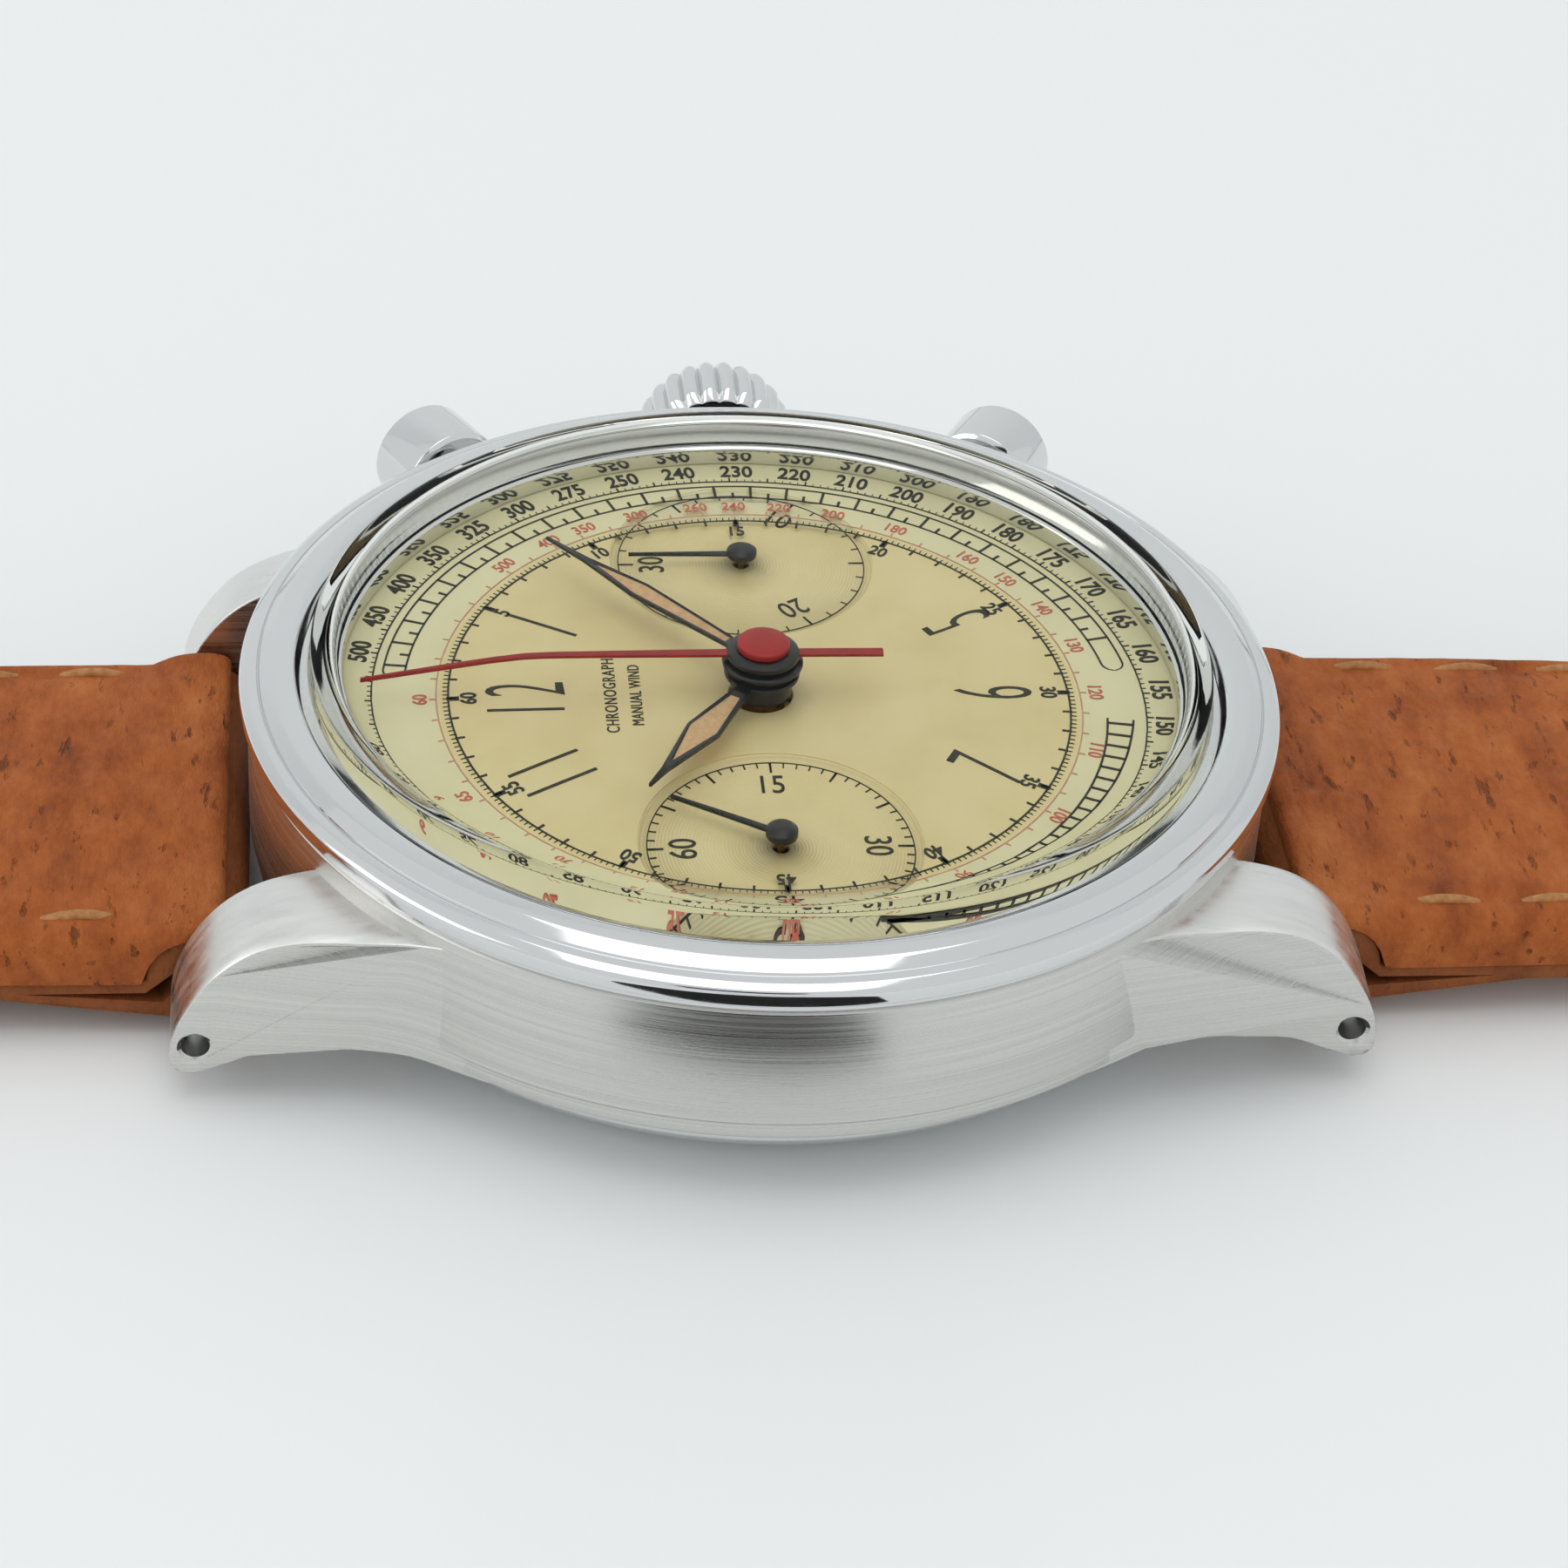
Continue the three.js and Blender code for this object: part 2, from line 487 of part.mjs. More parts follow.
addPart("fourth_wheel", join(
  gear(FOURTH, 4.2, 4.4, 0, escapeAngle),
  gear(small(FOURTH.leaves, THIRD.module), 3.4, 4.25, 0, inMesh(fourthAngle, FOURTH.leaves)),
  disc(0.14, BRIDGE_TOP + 0.05, SMALL_HAND_Z - 0.05, 8),
), brass, ...fourthAt);
addPart("escape_wheel", join(
  gear(small(ESCAPE.teeth, (2 * ESCAPE.radius) / ESCAPE.teeth), 4.65, 4.85),
  gear(small(ESCAPE.leaves, FOURTH.module), 4.1, 4.7, 0, inMesh(escapeAngle, ESCAPE.leaves)),
  disc(0.1, BRIDGE_TOP + 0.05, underPlate, 8),
), steel, ...escapeAt);
addPart("pallet_fork", join(
  plate(outline([[-1.3, 1.25], [-0.95, 1.5], [0.3, 0.35], [4.6, 0.15], [4.9, 0.4], [4.9, -0.4],
    [4.6, -0.15], [0.3, -0.35], [-0.95, -1.5], [-1.3, -1.25], [-0.6, 0]]), 4.6, 4.8),
  disc(0.1, BRIDGE_TOP + 0.05, underPlate, 8),
), steel, ...forkAt, 0, forkAngle);

function balance() {
  const rim = tube(BALANCE_RADIUS, BALANCE_RADIUS - 0.4, 3.75, 4.1, 24);
  const arms = block(-BALANCE_RADIUS + 0.2, BALANCE_RADIUS - 0.2, -0.25, 0.25, 3.8, 4.05);
  const staff = disc(0.14, BRIDGE_TOP + 0.05, underPlate, 12);
  const roller = disc(0.5, 4.25, 4.45, 12);
  return join(rim, arms, staff, roller, disc(0.3, 4, 4.3, 12));
}
addPart("balance_wheel", balance(), brass, ...balanceAt);

// A flat spiral of constant pitch.
function spiral(inner, outer, turns, width, steps) {
  const side = (offset) =>
    Array.from({ length: steps + 1 }, (_, i) => {
      const angle = (i / steps) * turns * 2 * Math.PI;
      const r = inner + ((outer - inner) * i) / steps + offset;
      return [r * Math.cos(angle), r * Math.sin(angle)];
    });
  return outline([...side(-width / 2), ...side(width / 2).reverse()]);
}
addPart("hairspring", plate(spiral(0.3, 2.1, 4, 0.12, 40), 3.4, 3.55), steel, ...balanceAt);

// ---- motion work under the dial ----
const minuteWheelAngle = rad(100);
const minuteWheelAt = at([0, 0], minuteWheelAngle, distance(small(MINUTE_WHEEL.teeth, CANNON.module),
  CANNON.leaves));
const hourModule = Math.hypot(...minuteWheelAt) /
  ((HOUR_WHEEL.teeth + MINUTE_WHEEL.leaves) / 2 + MESH_GAP);
const lowerWheels = PLATE_TOP + 0.25; // top of the wheels that lie on the plate
const upperWheels = PLATE_TOP + 0.52;
addPart("cannon_pinion", join(
  gear(small(CANNON.leaves, CANNON.module), onPlate, lowerWheels, 0.3, minuteWheelAngle),
  tube(0.55, 0.3, PLATE_TOP + 0.2, MINUTE_Z + HAND_THICKNESS + 0.1, 16),
), steel);
addPart("minute_wheel", join(
  gear(small(MINUTE_WHEEL.teeth, CANNON.module), onPlate, lowerWheels, 0.3,
    inMesh(minuteWheelAngle, MINUTE_WHEEL.teeth)),
  gear(small(MINUTE_WHEEL.leaves, hourModule), PLATE_TOP + 0.2, upperWheels, 0.3,
    minuteWheelAngle + Math.PI),
), brass, ...minuteWheelAt);
addPart("hour_wheel", join(
  gear(small(HOUR_WHEEL.teeth, hourModule), PLATE_TOP + 0.32, upperWheels, 0.65,
    inMesh(minuteWheelAngle + Math.PI, HOUR_WHEEL.teeth)),
  tube(0.9, 0.65, PLATE_TOP + 0.4, HOUR_Z + HAND_THICKNESS, 20),
), brass);

// ---- chronograph work over the bridges ----
const arborFoot = 1.35;
addPart("chronograph_wheel", join(
  gear(RUNNER, 1.6, 1.8), disc(0.22, arborFoot, SWEEP_Z - 0.05, 12),
  disc(0.8, 1.95, 2.25, 16).translate(0.3, 0, 0),
), brass);
addPart("minute_register_wheel", join(
  gear(small(RECORDER_TEETH, RUNNER.module), 1.6, 1.8), disc(0.14, arborFoot, SMALL_HAND_Z - 0.05, 8),
  disc(0.7, 1.95, 2.25, 16).translate(0.25, 0, 0),
), brass, SUBDIAL_X, 0);
const columnAt = [8, 7.6];
addPart("column_wheel", cut(
  join(gear(small(12, 0.2), 2.1, 2.4), plate(fluted(0.95, 0.3, 6), 1.4, 2.2)), disc(0.3, 1, 3),
), steel, ...columnAt);
const crownWheelAngle = rad(-15);
const crownWheelAt = at(barrelAt, crownWheelAngle,
  distance(small(RATCHET_TEETH, RATCHET_MODULE), CROWN_WHEEL_TEETH));
addPart("ratchet_wheel", join(
  gear(small(RATCHET_TEETH, RATCHET_MODULE), 2.1, 2.4, 0, crownWheelAngle),
  disc(0.5, 2.2, underPlate, 16),
), steel, ...barrelAt);
addPart("crown_wheel", gear(small(CROWN_WHEEL_TEETH, RATCHET_MODULE), 2.1, 2.4, 0.4,
  inMesh(crownWheelAngle, CROWN_WHEEL_TEETH)), steel, ...crownWheelAt);

// A lever swings about its pivot and is pushed at its upturned tab.
const leverPivot = [5.5, 12];
const tabAt = at([0, 0], rad(PUSHER_ANGLE), TAB_CENTRE);
const mirrored = ([x, y]) => [x, -y];
function lever(name, pivot, tab, nose) {
  const reach = Math.hypot(tab[0] - pivot[0], tab[1] - pivot[1]);
  const turn = Math.atan2(tab[1] - pivot[1], tab[0] - pivot[0]);
  const arm = block(0.3, reach, -0.35, 0.35, 1.9, 2.25);
  const upright = disc(TAB_RADIUS, 1.9, PUSHER_Z + 0.5, 12).translate(reach, 0, 0);
  const noseArm = block(0.3, Math.hypot(nose[0] - pivot[0], nose[1] - pivot[1]), -0.4, 0.4, 1.9, 2.25);
  const noseTurn = Math.atan2(nose[1] - pivot[1], nose[0] - pivot[0]);
  const shape = join(tube(0.8, 0.36, 1.9, 2.25, 16), arm, upright, noseArm.rotateZ(noseTurn - turn));
  const clean = cut(shape, disc(0.36, 1, 3));
  addPart(name, clean, steel, ...pivot, 0, turn);
}
lever("operating_lever", leverPivot, tabAt, [6.9, 9.2]);
lever("reset_hammer", mirrored(leverPivot), mirrored(tabAt), [2.2, -3.4]);

// ---- main plate and bridges ----
const arbor = (place, radius, low = 0, high = GROOVE_Z + 1) =>
  disc(radius, low, high).translate(place[0], place[1], 0);
const stemSlot = block(9.9, CASE_BORE + 1, -0.75, 0.75, STEM_Z - 0.75, GROOVE_Z);
const tabNotch = (place) => {
  const angle = Math.atan2(place[1], place[0]);
  return block(12.6, CASE_BORE + 1, -0.9, 0.9, 0, PUSHER_Z + 0.65).rotateZ(angle);
};
const notches = [tabNotch(tabAt), tabNotch(mirrored(tabAt))];
const hammerStud = arbor(mirrored(leverPivot), 0.3, 1.6, PLATE_BOTTOM + 0.2);
const minuteStud = arbor(minuteWheelAt, 0.24, PLATE_TOP - 0.2, PLATE_TOP + 0.5);
addPart("main_plate", join(cut(
  disc(PLATE_RADIUS, PLATE_BOTTOM, PLATE_TOP, 32),
  arbor([0, 0], 0.5), arbor(fourthAt, 0.22), arbor([SUBDIAL_X, 0], 0.22),
  stemSlot, ...notches,
), hammerStud, minuteStud), nickel);
addPart("movement_ring", cut(
  tube(CASE_BORE - FIT, PLATE_RADIUS - 0.3, PLATE_TOP, DIAL_Z - DIAL_THICKNESS, ROUND), stemSlot,
), brass);

const arc = (radius, from, to, steps) =>
  Array.from({ length: steps + 1 }, (_, i) => {
    const angle = rad(from + ((to - from) * i) / steps);
    return [radius * Math.cos(angle), radius * Math.sin(angle)];
  });
const pillar = (x, y, low = BRIDGE_TOP - 0.1, high = PLATE_BOTTOM) =>
  disc(0.55, low, high, 12).translate(x, y, 0);
const BRIDGE_RADIUS = 13.8;
addPart("barrel_bridge", join(cut(
  plate(outline([...arc(BRIDGE_RADIUS, 8, 148, 14), [-6.5, 3.6], [-1.5, 3.3], [0.2, 1.4], [7, 1]]),
    BRIDGE_BOTTOM, BRIDGE_TOP),
  arbor(barrelAt, 0.5 + RUNNING), arbor([SUBDIAL_X, 0], 1.2), notches[0],
), pillar(9.6, 8.6), pillar(-6, 9), pillar(11.9, 3.4),
arbor(leverPivot, 0.3, 1.6, BRIDGE_BOTTOM + 0.1), arbor(columnAt, 0.24, 1.6, BRIDGE_BOTTOM + 0.1),
arbor(crownWheelAt, 0.34, 1.9, BRIDGE_BOTTOM + 0.1)), nickel);
addPart("train_bridge", join(cut(
  plate(outline([[2, 0.9], [2, -1.6], [-4, -5.6], [-7.2, -7], [-11.7, -6.9], [-13.6, -1],
    [-13, 3.8], [-8, 3.2], [-2, 1.2]]), BRIDGE_BOTTOM, BRIDGE_TOP),
  arbor([0, 0], 0.5),
), pillar(-12.4, 2.6), pillar(-11.7, -5.9)), nickel);
addPart("balance_cock", join(
  plate(outline([[-4.3, -8.8], [-4.5, -10.2], [0.8, -13.2], [3.4, -12.9], [3.2, -10.4], [-2.8, -8.6]]),
    BRIDGE_BOTTOM, BRIDGE_TOP),
  pillar(2.2, -11.9),
), nickel);
addPart("chronograph_bridge", join(
  plate(outline([[-4.2, 5.9], [-2.6, 5.9], [-0.9, 0.9], [8.4, 0.9], [12.4, -0.6], [12.4, -2.2],
    [8.4, -0.9], [-0.9, -0.9], [-1.6, 0]]), BACK_FLOOR + 0.15, arborFoot - 0.05),
  pillar(-3.3, 5.1, 1.2, BRIDGE_BOTTOM), pillar(11.7, -1.4, 1.2),
), nickel);
function screw(name, x, y, head) {
  addPart(name, cut(disc(0.65, head - 0.3, head, 12).translate(x, y, 0),
    block(x - 0.7, x + 0.7, y - 0.1, y + 0.1, head - 0.4, head - 0.2)), steel);
}
screw("barrel_bridge_screw_1", 11.9, 3.4, BRIDGE_BOTTOM);
screw("barrel_bridge_screw_2", -6, 9, BRIDGE_BOTTOM);
screw("train_bridge_screw", -12.4, 2.6, BRIDGE_BOTTOM);
screw("balance_cock_screw", 2.2, -11.9, BRIDGE_BOTTOM);

// ---- strap, drawn towards +Y and turned over for the 6 o'clock half ----
const LOOP_RADIUS = BAR_RADIUS + 1;
const barHole = BAR_RADIUS + 0.1;
const flapEnd = BAR_Y + 7.3;
const buckleBar = 0.6;
const buckleZ = BAR_Z + 0.1;
const buckleLoop = buckleBar + 0.1 + LEATHER;
const around = ([y, z], radius, from, to, steps) =>
  arc(radius, from, to, steps).map(([a, b]) => [y + a, z + b]);
const loopCentre = [BAR_Y, BAR_Z];
const buckleCentre = [BUCKLE_Y, buckleZ];
const flipped = (points, end) => points.map(([y, z]) => [end * y, z]);

const nose = [[STRAP_START, STRAP_TOP - 0.75], [STRAP_START, STRAP_TOP - 0.35],
  [STRAP_START + 0.35, STRAP_TOP - 0.05], [STRAP_START + 1.2, STRAP_TOP]];
const overLoop = around(loopCentre, LOOP_RADIUS + FIT, 0, 115, 7);
const upper = (end, farTop, farUnder, farY) =>
  flipped([...overLoop, ...nose, [flapEnd, STRAP_TOP], [farY, farTop], [farY, farUnder],
    [flapEnd, STRAP_SIDE]], end);

function plan(end, width, farY, pointed) {
  const half = width / 2;
  const far = STRAP_END_WIDTH / 2 - (STRAP_WIDTH - width) / 2;
  const tail = pointed
    ? [[far, farY - 9], [far - 1.5, farY - 5], [2, farY], [-2, farY], [1.5 - far, farY - 5], [-far, farY - 9]]
    : [[far, farY], [-far, farY]];
  const [start, shoulder] = [BAR_Y - 2.5, BAR_Y + 3.8];
  const points = [[-half, start], [half, start], [half, shoulder], [far, STRAP_END], ...tail,
    [-far, STRAP_END], [-half, shoulder]];
  return plate(outline(flipped(points.map(([x, y]) => [y, x]), end).map(([y, x]) => [x, y])), -1, 9);
}

function liningOutline(end, tail) {
  const outer = [
    ...around(loopCentre, LOOP_RADIUS, 275, 0, 12), [BAR_Y + LOOP_RADIUS + 0.15, STRAP_SIDE - FIT], ...tail,
    [flapEnd, STRAP_UNDER],
  ];
  const shape = outline(flipped(outer, end));
  const wedge = [
    ...around(loopCentre, barHole, 25, 330, 10), [BAR_Y + 1.2, BAR_Z - 0.95],
    [BAR_Y + 6.1, BAR_Z - 0.55], [BAR_Y + 1.8, BAR_Z - 0.55],
  ];
  shape.holes.push(new THREE.Path(flipped(wedge, end).map(([x, y]) => new THREE.Vector2(x, y))));
  return shape;
}

const halfWidth = STRAP_WIDTH / 2 + 1;
const lap = STRAP_WIDTH - 0.3;

// Half with the buckle, at 12 o'clock.
const upperEnd = BUCKLE_Y - 1.5;
addPart("buckle_strap_upper", common(
  acrossX(outline(upper(1, STRAP_SIDE + 1.45, STRAP_SIDE, upperEnd)), -halfWidth, halfWidth),
  plan(1, STRAP_WIDTH, upperEnd + 1, false),
), leather);
const buckleTail = [
  [BUCKLE_Y - 1.45, STRAP_SIDE - FIT], ...around(buckleCentre, buckleLoop, 175, -90, 10),
  [BUCKLE_Y - 1.8, STRAP_UNDER],
];
const tongueNotch = block(-1.5, 1.5, BUCKLE_Y - 1.7, BUCKLE_Y + 2, 0, 4);
const buckleBarHole = alongX(disc(buckleBar + 0.1, -STRAP_WIDTH, STRAP_WIDTH, 12))
  .translate(0, BUCKLE_Y, buckleZ);
addPart("buckle_strap_lining", cut(
  common(acrossX(liningOutline(1, buckleTail), -halfWidth, halfWidth), plan(1, lap, BUCKLE_Y + 2.5, false)),
  buckleBarHole, tongueNotch,
), lining);

// Half with the holes, at 6 o'clock.
const strapHoles = Array.from({ length: STRAP_HOLES }, (_, i) =>
  disc(HOLE_RADIUS, -1, 9, 12).translate(0, -(FIRST_HOLE_Y + i * HOLE_PITCH), 0),
);
const tailUnder = 0.9;
addPart("hole_strap_upper", cut(common(
  acrossX(outline(upper(-1, TAIL_THICKNESS, tailUnder + FIT, TAIL_Y)), -halfWidth, halfWidth),
  plan(-1, STRAP_WIDTH, TAIL_Y, true),
), ...strapHoles), leather);
const plainTail = [[TAIL_Y, tailUnder], [TAIL_Y, 0.05]];
addPart("hole_strap_lining", cut(common(
  acrossX(liningOutline(-1, plainTail), -halfWidth, halfWidth),
  plan(-1, lap, TAIL_Y - 0.2, true),
), ...strapHoles), lining);

function springBar(name, y) {
  const collar = LUG_GAP / 2 - 0.3;
  const end = LUG_GAP / 2 + 1.4;
  const profile = [[0, -end], [PIVOT_RADIUS, -end], [PIVOT_RADIUS, -collar], [BAR_RADIUS, -collar],
    [BAR_RADIUS, collar], [PIVOT_RADIUS, collar], [PIVOT_RADIUS, end], [0, end]];
  addPart(name, alongX(turned(profile, 12)).translate(0, y, BAR_Z), steel);
}
springBar("spring_bar_12", BAR_Y);
springBar("spring_bar_6", -BAR_Y);

function keeper(name, y) {
  const inner = STRAP_END_WIDTH / 2 + 0.35;
  const outer = inner + KEEPER_WALL;
  const low = STRAP_UNDER - 0.12;
  const high = low + TAIL_THICKNESS + 2.7;
  addPart(name, cut(
    block(-outer, outer, y, y + KEEPER_LENGTH, low - KEEPER_WALL, high + KEEPER_WALL),
    block(-inner, inner, y - 1, y + KEEPER_LENGTH + 1, low, high),
  ), leather);
}
keeper("fixed_keeper", BUCKLE_Y - 8);
keeper("free_keeper", BUCKLE_Y - 24);

// ---- buckle ----
const frameInner = STRAP_END_WIDTH / 2 + 0.35;
const frameOuter = frameInner + BUCKLE_WIRE;
const frameLow = buckleZ - BUCKLE_WIRE / 2;
const frameHigh = buckleZ + BUCKLE_WIRE / 2;
const frameFront = BUCKLE_Y + BUCKLE_DEPTH;
const frameOutline = outline([
  [-frameOuter, BUCKLE_Y - 1.2], [-frameInner, BUCKLE_Y - 1.2],
  [-frameInner, frameFront - BUCKLE_WIRE - 1], [1 - frameInner, frameFront - BUCKLE_WIRE],
  [frameInner - 1, frameFront - BUCKLE_WIRE], [frameInner, frameFront - BUCKLE_WIRE - 1],
  [frameInner, BUCKLE_Y - 1.2], [frameOuter, BUCKLE_Y - 1.2], [frameOuter, frameFront - 2.5],
  [frameOuter - 0.8, frameFront - 0.8], [frameOuter - 2.5, frameFront],
  [2.5 - frameOuter, frameFront], [0.8 - frameOuter, frameFront - 0.8], [-frameOuter, frameFront - 2.5],
]);
addPart("buckle_frame", cut(plate(frameOutline, frameLow, frameHigh),
  alongX(disc(buckleBar + FIT, -STRAP_WIDTH, STRAP_WIDTH, 12)).translate(0, BUCKLE_Y, buckleZ)), steel);
addPart("buckle_bar", alongX(disc(buckleBar, -frameOuter + 0.2, frameOuter - 0.2, 12))
  .translate(0, BUCKLE_Y, buckleZ), steel);
const tongueSide = [
  [BUCKLE_Y + 0.3, buckleZ + 0.3], [BUCKLE_Y + 1, buckleZ + 0.6],
  [frameFront - BUCKLE_WIRE, frameHigh + 0.05], [frameFront - 0.4, frameHigh + 0.05],
  [frameFront - 0.4, frameHigh + 0.5], [frameFront - BUCKLE_WIRE, frameHigh + 0.75],
  [BUCKLE_Y + 1, buckleZ + 1.35], [BUCKLE_Y, buckleZ + 1.2],
];
const tongueEye = alongX(disc(1.2, -0.75, 0.75)).translate(0, BUCKLE_Y, buckleZ);
addPart("buckle_tongue", cut(
  join(acrossX(outline(tongueSide), -0.75, 0.75), tongueEye),
  alongX(disc(buckleBar + RUNNING, -2, 2, 12)).translate(0, BUCKLE_Y, buckleZ),
), steel);

export default watch;
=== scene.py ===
# %% [markdown]
# # A steel chronograph wristwatch on a leather strap
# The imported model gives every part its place, so the first step loads it and keeps its box. Everything
# made below is in metres in that same frame: +Z out of the dial, +Y to 12 o'clock, +X to the crown.

# %% Load the frame
import math

import bmesh
import bpy
from mathutils import Matrix, Vector, noise


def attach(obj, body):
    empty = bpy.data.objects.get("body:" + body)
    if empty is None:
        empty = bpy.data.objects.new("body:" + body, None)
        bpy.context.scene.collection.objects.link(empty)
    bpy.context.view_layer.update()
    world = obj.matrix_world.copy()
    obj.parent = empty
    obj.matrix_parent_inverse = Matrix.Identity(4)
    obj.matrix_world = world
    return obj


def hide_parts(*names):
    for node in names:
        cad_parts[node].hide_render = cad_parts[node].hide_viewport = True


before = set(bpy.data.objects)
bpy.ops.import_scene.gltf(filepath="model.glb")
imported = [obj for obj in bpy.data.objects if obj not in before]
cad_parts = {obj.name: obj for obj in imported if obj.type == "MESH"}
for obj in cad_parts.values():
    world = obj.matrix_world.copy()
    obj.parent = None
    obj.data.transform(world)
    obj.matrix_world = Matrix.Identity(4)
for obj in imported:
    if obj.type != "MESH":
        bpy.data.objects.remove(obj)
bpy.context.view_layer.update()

MM = 0.001
scene = bpy.context.scene

# %% [markdown]
# ## Camera
# The watch is seen from the 9 o'clock side, 34 degrees above the table, with a long macro lens. The camera
# looks at a point a little below the middle of the dial and leans 3.6 degrees, as a hand-held one would.

# %% Camera
CAMERA_AZIMUTH = math.radians(-97.02)
CAMERA_HEIGHT = math.radians(34.2)
CAMERA_ROLL = math.radians(3.6)
CAMERA_DISTANCE = 155.2 * MM
WATCH_MIDDLE = Vector((0, 0, 8 * MM))

back = Vector((math.sin(CAMERA_AZIMUTH) * math.cos(CAMERA_HEIGHT),
               -math.cos(CAMERA_AZIMUTH) * math.cos(CAMERA_HEIGHT), math.sin(CAMERA_HEIGHT)))
side = Vector((math.cos(CAMERA_AZIMUTH), math.sin(CAMERA_AZIMUTH), 0))
up = back.cross(side)
lean_side = side * math.cos(CAMERA_ROLL) + up * math.sin(CAMERA_ROLL)
lean_up = up * math.cos(CAMERA_ROLL) - side * math.sin(CAMERA_ROLL)
eye = WATCH_MIDDLE + back * CAMERA_DISTANCE
aim = WATCH_MIDDLE + lean_side * 0.85 * MM - lean_up * 3.28 * MM
view_back = (eye - aim).normalized()
view_side = lean_up.cross(view_back).normalized()
view_up = view_back.cross(view_side)
camera = bpy.data.objects.new("camera", bpy.data.cameras.new("camera"))
scene.collection.objects.link(camera)
camera.matrix_world = Matrix((
    (view_side.x, view_up.x, view_back.x, eye.x),
    (view_side.y, view_up.y, view_back.y, eye.y),
    (view_side.z, view_up.z, view_back.z, eye.z),
    (0, 0, 0, 1),
))
camera.data.lens = 98.4
camera.data.sensor_width = 36
camera.data.clip_start = 0.005
scene.camera = camera
print("camera is", round(CAMERA_DISTANCE / MM), "mm from the dial")

# %% [markdown]
# ## Nodes and colours
# A few helpers serve every material. One adds a node with its settings and links, and another turns an sRGB
# hex colour, as a paint chart gives it, into the linear numbers that the renderer works in. The rest make a
# cloudy pattern and send it into a colour, a roughness or a bump.

# %% Node and colour helpers
def add(tree, kind, inputs=None, **settings):
    node = tree.nodes.new(kind)
    for key, value in settings.items():
        setattr(node, key, value)
    for key, value in (inputs or {}).items():
        if isinstance(value, bpy.types.NodeSocket):
            tree.links.new(value, node.inputs[key])
        else:
            node.inputs[key].default_value = value
    return node


def linear(hex_colour):
    channels = [int(hex_colour[i:i + 2], 16) / 255 for i in (1, 3, 5)]
    return (*[c / 12.92 if c <= 0.04045 else ((c + 0.055) / 1.055) ** 2.4 for c in channels], 1)


def new_material(name, **shader_values):
    material = bpy.data.materials.new(name)
    material.use_nodes = True
    tree = material.node_tree
    tree.nodes.clear()
    shader = add(tree, "ShaderNodeBsdfPrincipled")
    for key, value in shader_values.items():
        shader.inputs[key.replace("_", " ")].default_value = value
    add(tree, "ShaderNodeOutputMaterial", {"Surface": shader.outputs[0]})
    return material, tree, shader


def placed(tree, scale):
    """Object coordinates with one scale for each axis, in repeats per metre."""
    where = add(tree, "ShaderNodeTexCoord")
    return add(tree, "ShaderNodeMapping", {"Vector": where.outputs["Object"], "Scale": scale}).outputs[0]


def clouds(tree, scale, detail=4, roughness=0.5):
    where = placed(tree, scale)
    return add(tree, "ShaderNodeTexNoise",
               {"Vector": where, "Scale": 1, "Detail": detail, "Roughness": roughness}).outputs[0]


def blended(tree, factor, *stops):
    """A colour ramp: stops are (place, hex colour)."""
    ramp = add(tree, "ShaderNodeValToRGB", {"Fac": factor}).color_ramp
    ramp.elements[0].position, ramp.elements[0].color = stops[0][0], linear(stops[0][1])
    ramp.elements[1].position, ramp.elements[1].color = stops[-1][0], linear(stops[-1][1])
    for place, colour in stops[1:-1]:
        ramp.elements.new(place).color = linear(colour)
    return tree.nodes[-1].outputs[0]


def ranged(tree, value, low, high, from_low=0.0, from_high=1.0):
    return add(tree, "ShaderNodeMapRange", {"Value": value, "From Min": from_low, "From Max": from_high,
                                            "To Min": low, "To Max": high}).outputs[0]


def bumped(tree, shader, height, depth_mm, strength=1.0, normal=None):
    inputs = {"Height": height, "Distance": depth_mm * MM, "Strength": strength}
    if normal is not None:
        inputs["Normal"] = normal
    bump = add(tree, "ShaderNodeBump", inputs)
    tree.links.new(bump.outputs[0], shader.inputs["Normal"])
    return bump.outputs[0]


def into(tree, output, shader, socket):
    tree.links.new(output, shader.inputs[socket])


print("helpers ready")

# %% [markdown]
# ## Metals
# The case is stainless steel, finished three ways. The bezel, crown and pushers are polished on a soft wheel,
# which leaves a mirror with faint wipe marks. The flank is drawn along an abrasive belt, so its fine lines
# run round the case and spread the light upwards and downwards. That grain runs on over the outer sides of
# the lugs, and their tops are satin.

# %% Polished and brushed steel
def brushed_steel(name, grain_scale, depth_mm, low="#CBCAC6", high="#DAD9D5", base_roughness=0.26):
    material, tree, shader = new_material(name, Metallic=1.0)
    grain = clouds(tree, grain_scale, 4, 0.65)
    into(tree, blended(tree, grain, (0.35, low), (0.65, high)), shader, "Base Color")
    into(tree, ranged(tree, grain, base_roughness - 0.05, base_roughness + 0.12, 0.35, 0.65),
         shader, "Roughness")
    scratch_field = clouds(tree, (500, 900, 2600), 0)
    scratches = ranged(tree, scratch_field, 0, 1, 0.735, 0.75)
    lines = bumped(tree, shader, grain, depth_mm)
    bumped(tree, shader, scratches, 0.004, 0.5, lines)
    return material


def polished_steel(name, colour="#DEDFE0", roughness=0.07):
    material, tree, shader = new_material(name, Metallic=1.0)
    shader.inputs["Base Color"].default_value = linear(colour)
    wipe = clouds(tree, (700, 700, 2500), 4)
    into(tree, ranged(tree, wipe, roughness - 0.03, roughness + 0.06, 0.3, 0.7), shader, "Roughness")
    bumped(tree, shader, wipe, 0.0012)
    return material


